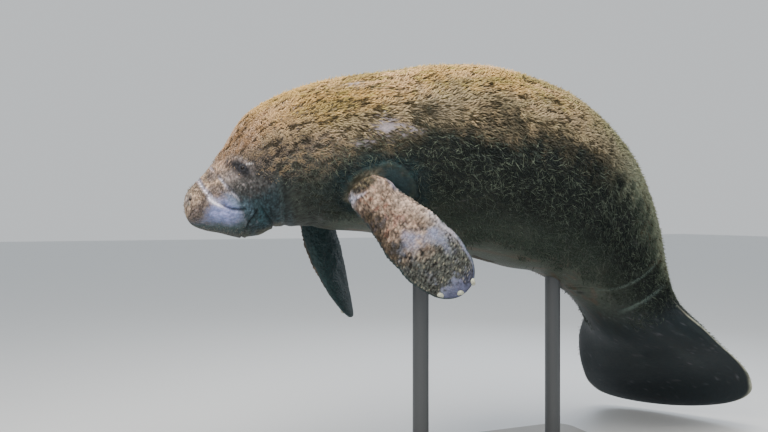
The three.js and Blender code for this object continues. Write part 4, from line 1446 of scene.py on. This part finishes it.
for side, name in ((-1, "left"), (1, "right")):
    centre, out, back, up = eye_frame(side)
    rings, polar, turn = sphere_rings(centre, out, back, up * side, EYE_RADIUS)
    points, faces = closed_rings(rings)
    eye = make_object("eyeball_" + name, points, faces)
    give(eye, "iris", "FLOAT", with_ends(ramp(np.degrees(polar), 17, 20) + 0 * turn))
    eye.data.materials.append(eyeball)
    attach(eye, "root")
    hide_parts("eye_" + name)

    turn = np.linspace(0, 2 * np.pi, 96, endpoint=False)[:, None]
    tube = np.linspace(0, 2 * np.pi, 24, endpoint=False)[None, :]
    circle = np.stack([np.cos(turn), np.sin(turn), 0 * turn], -1)
    pucker = LID_PUCKER * (noise(circle, (0.16, 0.16, 1), 71) - 0.5)
    opening = LID_OPENING * (1 + 0.10 * np.cos(2 * turn))
    thick = LID_THICKNESS + pucker * 2 + 0.0006 * np.sin(3 * tube + 6 * pucker / LID_PUCKER)
    reach = opening + thick * np.cos(tube) * 1.3 + 0.0016
    height = LID_HEIGHT + thick * np.sin(tube)
    lid_rings = centre + height[..., None] * out + reach[..., None] * (
        np.cos(turn)[..., None] * back + np.sin(turn)[..., None] * up)
    quads = tube_faces(*lid_rings.shape[:2])
    lid = make_object("eyelid_" + name, lid_rings.reshape(-1, 3), [quads if side < 0 else quads[:, ::-1]])
    shade = 0.8 + 0.5 * noise(lid_rings.reshape(-1, 3), (0.003, 0.003, 0.003), 72)
    give(lid, "hide", "FLOAT_COLOR", linear("#2f3036") * shade[:, None])
    give(lid, "lie", "FLOAT_VECTOR", lid_rings.reshape(-1, 3))
    give(lid, "pebbles", "FLOAT", np.full(shade.shape, 0.1))
    give(lid, "wrinkles", "FLOAT", np.full(shade.shape, 0.3))
    lid.data.materials.append(hide)
    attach(lid, "root")
    print("eye", name, "at", centre.round(3))

# %% [markdown]
# ## Nails and bristles
# Three flat nails sit on the edge of each flipper, like worn horn. Short stiff bristles stand on the
# snout and on the pads of the upper lip.

# %% Horn
# Worn horn: cloudy yellow-grey, a little see-through, with low growth ridges and a dull shine
GROWTH_SIZE = 0.003

horn, tree = new_material("nail horn")
place_now = add(tree, "TexCoord").outputs["Object"]
growth = add(tree, "TexNoise", {"Vector": place_now, "Scale": 1 / GROWTH_SIZE, "Detail": 3.0})
tone = add(tree, "ValToRGB", {"Fac": growth.outputs["Fac"]})
tone.color_ramp.elements[0].position = 0.3
tone.color_ramp.elements[0].color = (*linear("#75786b"), 1)
tone.color_ramp.elements[1].position = 0.7
tone.color_ramp.elements[1].color = (*linear("#b9bda9"), 1)
rise = add(tree, "Bump", {"Height": growth.outputs["Fac"], "Strength": 0.6, "Distance": 0.0008})
surface = add(tree, "BsdfPrincipled", {
    "Base Color": tone.outputs["Color"], "Roughness": 0.38, "Normal": rise.outputs[0], "IOR": 1.54})
surface.inputs["Subsurface Weight"].default_value = 0.1
surface.inputs["Subsurface Scale"].default_value = 0.004
add(tree, "OutputMaterial", {"Surface": surface.outputs[0]})
print("nodes in the horn", len(tree.nodes))

# %% Nails
# Share of the flipper's length and place across it, from the trailing edge at -1 to the leading at 1
NAILS = ((0.98, -0.9), (0.978, 0.44), (0.9, 0.84))
NAIL_HALF_SIZES = np.array([0.0080, 0.0145, 0.0060])
NAIL_SWING = 70

nail_names = sorted(name for name in nodes if "_nail_" in name)
print(nail_names)
for flipper in FLIPPERS:
    root_now, direction, outer, leading = blade_frame(flipper)
    shapes = []
    for along_nail, across_nail in NAILS:
        at = np.array([along_nail])
        spread = np.array([across_nail])
        through = 0.75 * np.sqrt(1 - spread ** 2)
        middle_now = blade_point(flipper, at, spread, through)[0]
        swing = np.radians(NAIL_SWING * across_nail * flipper["side"])
        pointing = unit(turned(direction, outer, np.array([swing]))[0])
        normal_now = turned(outer, direction, np.radians([flipper["twist"] * along_nail]))[0]
        normal_now = unit(normal_now - pointing * (normal_now @ pointing))
        wide = np.cross(normal_now, pointing)
        polar = (np.linspace(0.05, 0.95, 20) * np.pi)[:, None]
        turn = np.linspace(0, 2 * np.pi, 28, endpoint=False)[None, :]
        ahead_now = NAIL_HALF_SIZES[0] * np.cos(polar) + 0 * turn
        square = np.sin(polar) ** 0.7
        broad_now = NAIL_HALF_SIZES[1] * square * np.cos(turn)
        thick_now = NAIL_HALF_SIZES[2] * square * np.sin(turn)
        thick_now = thick_now - 0.25 * broad_now ** 2 / NAIL_HALF_SIZES[1]
        thick_now = thick_now + 0.0004 * np.sin(ahead_now * 2400)
        rings = middle_now + ahead_now[..., None] * pointing + broad_now[..., None] * wide
        rings = rings + thick_now[..., None] * normal_now
        shapes.append(closed_rings(rings))
    nails = make_object("nails_" + flipper["name"], *merged(shapes))
    nails.data.materials.append(horn)
    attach(nails, "root")
    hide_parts(*[name for name in nail_names if flipper["name"] in name])

# %% Bristles
# Stiff hair of horn: one pale brown with a dull shine, since each is too thin to show more
BRISTLES = 260
BRISTLE_SEED = 12
# Place along the bristle and radius of its two rings of three corners
BRISTLE_RINGS = ((-0.15, 0.0007), (0.6, 0.0005))

bristle_horn, tree = new_material("bristle horn")
surface = add(tree, "BsdfPrincipled", {"Base Color": (*linear("#7d7263"), 1), "Roughness": 0.45, "IOR": 1.54})
add(tree, "OutputMaterial", {"Surface": surface.outputs[0]})
random = np.random.default_rng(BRISTLE_SEED)
half = BRISTLES // 2
along_b = np.concatenate([random.uniform(0.006, 0.085, half), random.uniform(0.02, 0.14, half)])
on_snout = random.uniform(-70, 70, half)
on_pads = random.choice([-1, 1], half) * random.uniform(90, 150, half)
angle_b = np.concatenate([on_snout, on_pads])
root_b = body_point(along_b, angle_b)
ahead_b = unit(body_point(along_b + 0.002, angle_b) - root_b)
aside_b = unit(body_point(along_b, angle_b + 0.8) - root_b)
out_b = unit(np.cross(aside_b, ahead_b))
out_b *= np.where(((root_b - section(along_b)[0]) * out_b).sum(-1) > 0, 1, -1)[:, None]
lean = out_b + ahead_b * random.uniform(-0.2, 0.6, BRISTLES)[:, None]
lean = unit(lean + aside_b * random.normal(0, 0.25, BRISTLES)[:, None])
long_b = random.uniform(0.005, 0.010, BRISTLES)
across_b = unit(np.cross(lean, ahead_b))
other_b = np.cross(lean, across_b)
turns = np.arange(3) * 2 * np.pi / 3
corners_b = []
for share, radius in BRISTLE_RINGS:
    for turn in turns:
        offset = radius * (np.cos(turn) * across_b + np.sin(turn) * other_b)
        corners_b.append(root_b + lean * (long_b * share)[:, None] + offset)
corners_b.append(root_b + lean * long_b[:, None])
bristles = make_object("bristles", np.stack(corners_b, 1).reshape(-1, 3), strand_faces(BRISTLES))
bristles.data.materials.append(bristle_horn)
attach(bristles, "root")
print("bristles", BRISTLES, "longest", long_b.max().round(4))

# %% [markdown]
# ## The stand
# The board is painted satin grey and the rods and flanges are powder-coated steel in dark grey. Cap
# screws hold each flange down, and a fillet of weld runs round the foot of each rod.

# %% Paint and powder coat
# Satin paint put on with a roller: a fine stipple, cloudy gloss and a tone that shifts a little
board_paint, tree = new_material("satin grey paint")
place_now = add(tree, "TexCoord").outputs["Object"]
clouds = add(tree, "TexNoise", {"Vector": place_now, "Scale": 1 / 0.12, "Detail": 4.0})
tone = add(tree, "ValToRGB", {"Fac": clouds.outputs["Fac"]})
tone.color_ramp.elements[0].position = 0.35
tone.color_ramp.elements[0].color = (*linear("#8c8b86"), 1)
tone.color_ramp.elements[1].position = 0.65
tone.color_ramp.elements[1].color = (*linear("#96958f"), 1)
gloss = add(tree, "MapRange", {
    "Value": clouds.outputs["Fac"], "From Min": 0.3, "From Max": 0.7, "To Min": 0.34, "To Max": 0.48})
stipple = add(tree, "TexNoise", {"Vector": place_now, "Scale": 1 / 0.0014, "Detail": 2.0})
rise = add(tree, "Bump", {"Height": stipple.outputs["Fac"], "Strength": 0.35, "Distance": 0.0004})
surface = add(tree, "BsdfPrincipled", {
    "Base Color": tone.outputs["Color"], "Roughness": gloss.outputs[0], "Normal": rise.outputs[0]})
add(tree, "OutputMaterial", {"Surface": surface.outputs[0]})

# Baked powder on steel: an even dark grey with the small soft bumps of an orange skin
powder, tree = new_material("dark powder coated steel")
place_now = add(tree, "TexCoord").outputs["Object"]
peel = add(tree, "TexNoise", {"Vector": place_now, "Scale": 1 / 0.0022, "Detail": 1.0})
tone = add(tree, "ValToRGB", {"Fac": peel.outputs["Fac"]})
tone.color_ramp.elements[0].color = (*linear("#3c3f42"), 1)
tone.color_ramp.elements[1].color = (*linear("#4b4e51"), 1)
rise = add(tree, "Bump", {"Height": peel.outputs["Fac"], "Strength": 0.5, "Distance": 0.0005})
surface = add(tree, "BsdfPrincipled", {
    "Base Color": tone.outputs["Color"], "Roughness": 0.42, "Normal": rise.outputs[0]})
add(tree, "OutputMaterial", {"Surface": surface.outputs[0]})

for name, node in nodes.items():
    if name.startswith("stand_"):
        for place_slot in node.material_slots:
            place_slot.material = board_paint if name == "stand_base" else powder
print("painted", [name for name in nodes if name.startswith("stand_")])

# %% Screws and weld
# Radius and height of each ring, from the middle of the top down, and whether the ring is six-sided
SCREW = [
    (0.0002, 0.0022, True), (0.0029, 0.0022, True), (0.0030, 0.0046, True), (0.0034, 0.0050, False),
    (0.0060, 0.0048, False), (0.0068, 0.0040, False), (0.0070, 0.0030, False), (0.0070, -0.0010, False),
]
WELD = [(0.0315, 0.0085, False), (0.0335, 0.0070, False), (0.0365, 0.0042, False), (0.0400, 0.0018, False),
        (0.0420, 0.0003, False), (0.0420, -0.0010, False)]
SCREWS_ROUND = 4
SCREW_CIRCLE = 0.058


def lathe(profile, centre, columns):
    """Closed form turned about an upright line. A six-sided ring's radius is divided by the cosine of
    the angle from the middle of the nearest side."""
    turn = np.linspace(0, 2 * np.pi, columns, endpoint=False)
    from_side = (turn + np.pi / 6) % (np.pi / 3) - np.pi / 6
    rings = []
    for radius, height, six_sided in profile:
        reach = radius / np.cos(from_side) if six_sided else np.full(columns, radius)
        ring = [reach * np.cos(turn), reach * np.sin(turn), np.full(columns, height)]
        rings.append(centre + np.stack(ring, -1))
    return closed_rings(np.array(rings))


for end in ("front", "rear"):
    low, high = np.array(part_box("stand_flange_" + end))
    foot = np.array([(low[0] + high[0]) / 2, (low[1] + high[1]) / 2, high[2]])
    round_foot = (np.arange(SCREWS_ROUND) + 0.5) * 2 * np.pi / SCREWS_ROUND
    spots = foot + SCREW_CIRCLE * np.stack([np.cos(round_foot), np.sin(round_foot), 0 * round_foot], -1)
    screws = [lathe(SCREW, spot, 36) for spot in spots]
    for name, shapes in (("screws_", screws), ("weld_", [lathe(WELD, foot, 96)])):
        piece = make_object("stand_" + name + end, *merged(shapes))
        piece.data.materials.append(powder)
        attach(piece, "root")
        print(piece.name, "points", len(piece.data.vertices))

# %% [markdown]
# ## Floor and light
# A plain pale floor, a pale surround and three large soft lights: most of the light comes from above, as
# it does on a swimming animal, so the back is bright and the lower side falls into shade.

# %% Floor
# Matt pale paint, even and without a mark, so that it takes soft shadows and draws no eye
FLOOR_HALF = 30

floor_corners = [(x * FLOOR_HALF, y * FLOOR_HALF, 0) for x, y in ((-1, -1), (1, -1), (1, 1), (-1, 1))]
floor_mesh = bpy.data.meshes.new("floor")
floor_mesh.from_pydata(floor_corners, [], [(0, 1, 2, 3)])
floor = bpy.data.objects.new("floor", floor_mesh)
bpy.context.scene.collection.objects.link(floor)
pale, tree = new_material("pale painted floor")
surface = add(tree, "BsdfPrincipled", {"Base Color": (*linear("#d9dcde"), 1), "Roughness": 0.7})
add(tree, "OutputMaterial", {"Surface": surface.outputs[0]})
floor.data.materials.append(pale)
print("floor", 2 * FLOOR_HALF, "m wide")

# %% Light
SURROUND_STRENGTH = 0.85

world = bpy.data.worlds.new("studio")
world.use_nodes = True
world.node_tree.nodes["Background"].inputs["Color"].default_value = (*linear("#e8ecef"), 1)
world.node_tree.nodes["Background"].inputs["Strength"].default_value = SURROUND_STRENGTH
bpy.context.scene.world = world


def soft_light(name, place, aim_at, size, power, hex_colour):
    """A square area light at a place, turned so that it looks at a point."""
    data = bpy.data.lights.new(name, "AREA")
    data.size = size
    data.energy = power
    data.color = linear(hex_colour)
    made = bpy.data.objects.new(name, data)
    made.location = place
    made.rotation_euler = (Vector(aim_at) - Vector(place)).to_track_quat("-Z", "Y").to_euler()
    bpy.context.scene.collection.objects.link(made)


soft_light("top", (-0.5, -0.9, 3.7), (0, 0, 1.2), 2.2, 150, "#fff6ea")
soft_light("key", (-2.6, -2.4, 2.8), (-0.5, 0, 1.1), 1.4, 75, "#fff4e6")
soft_light("rim", (1.8, 2.2, 2.6), (0.2, 0, 1.1), 1.6, 40, "#e8f0ff")
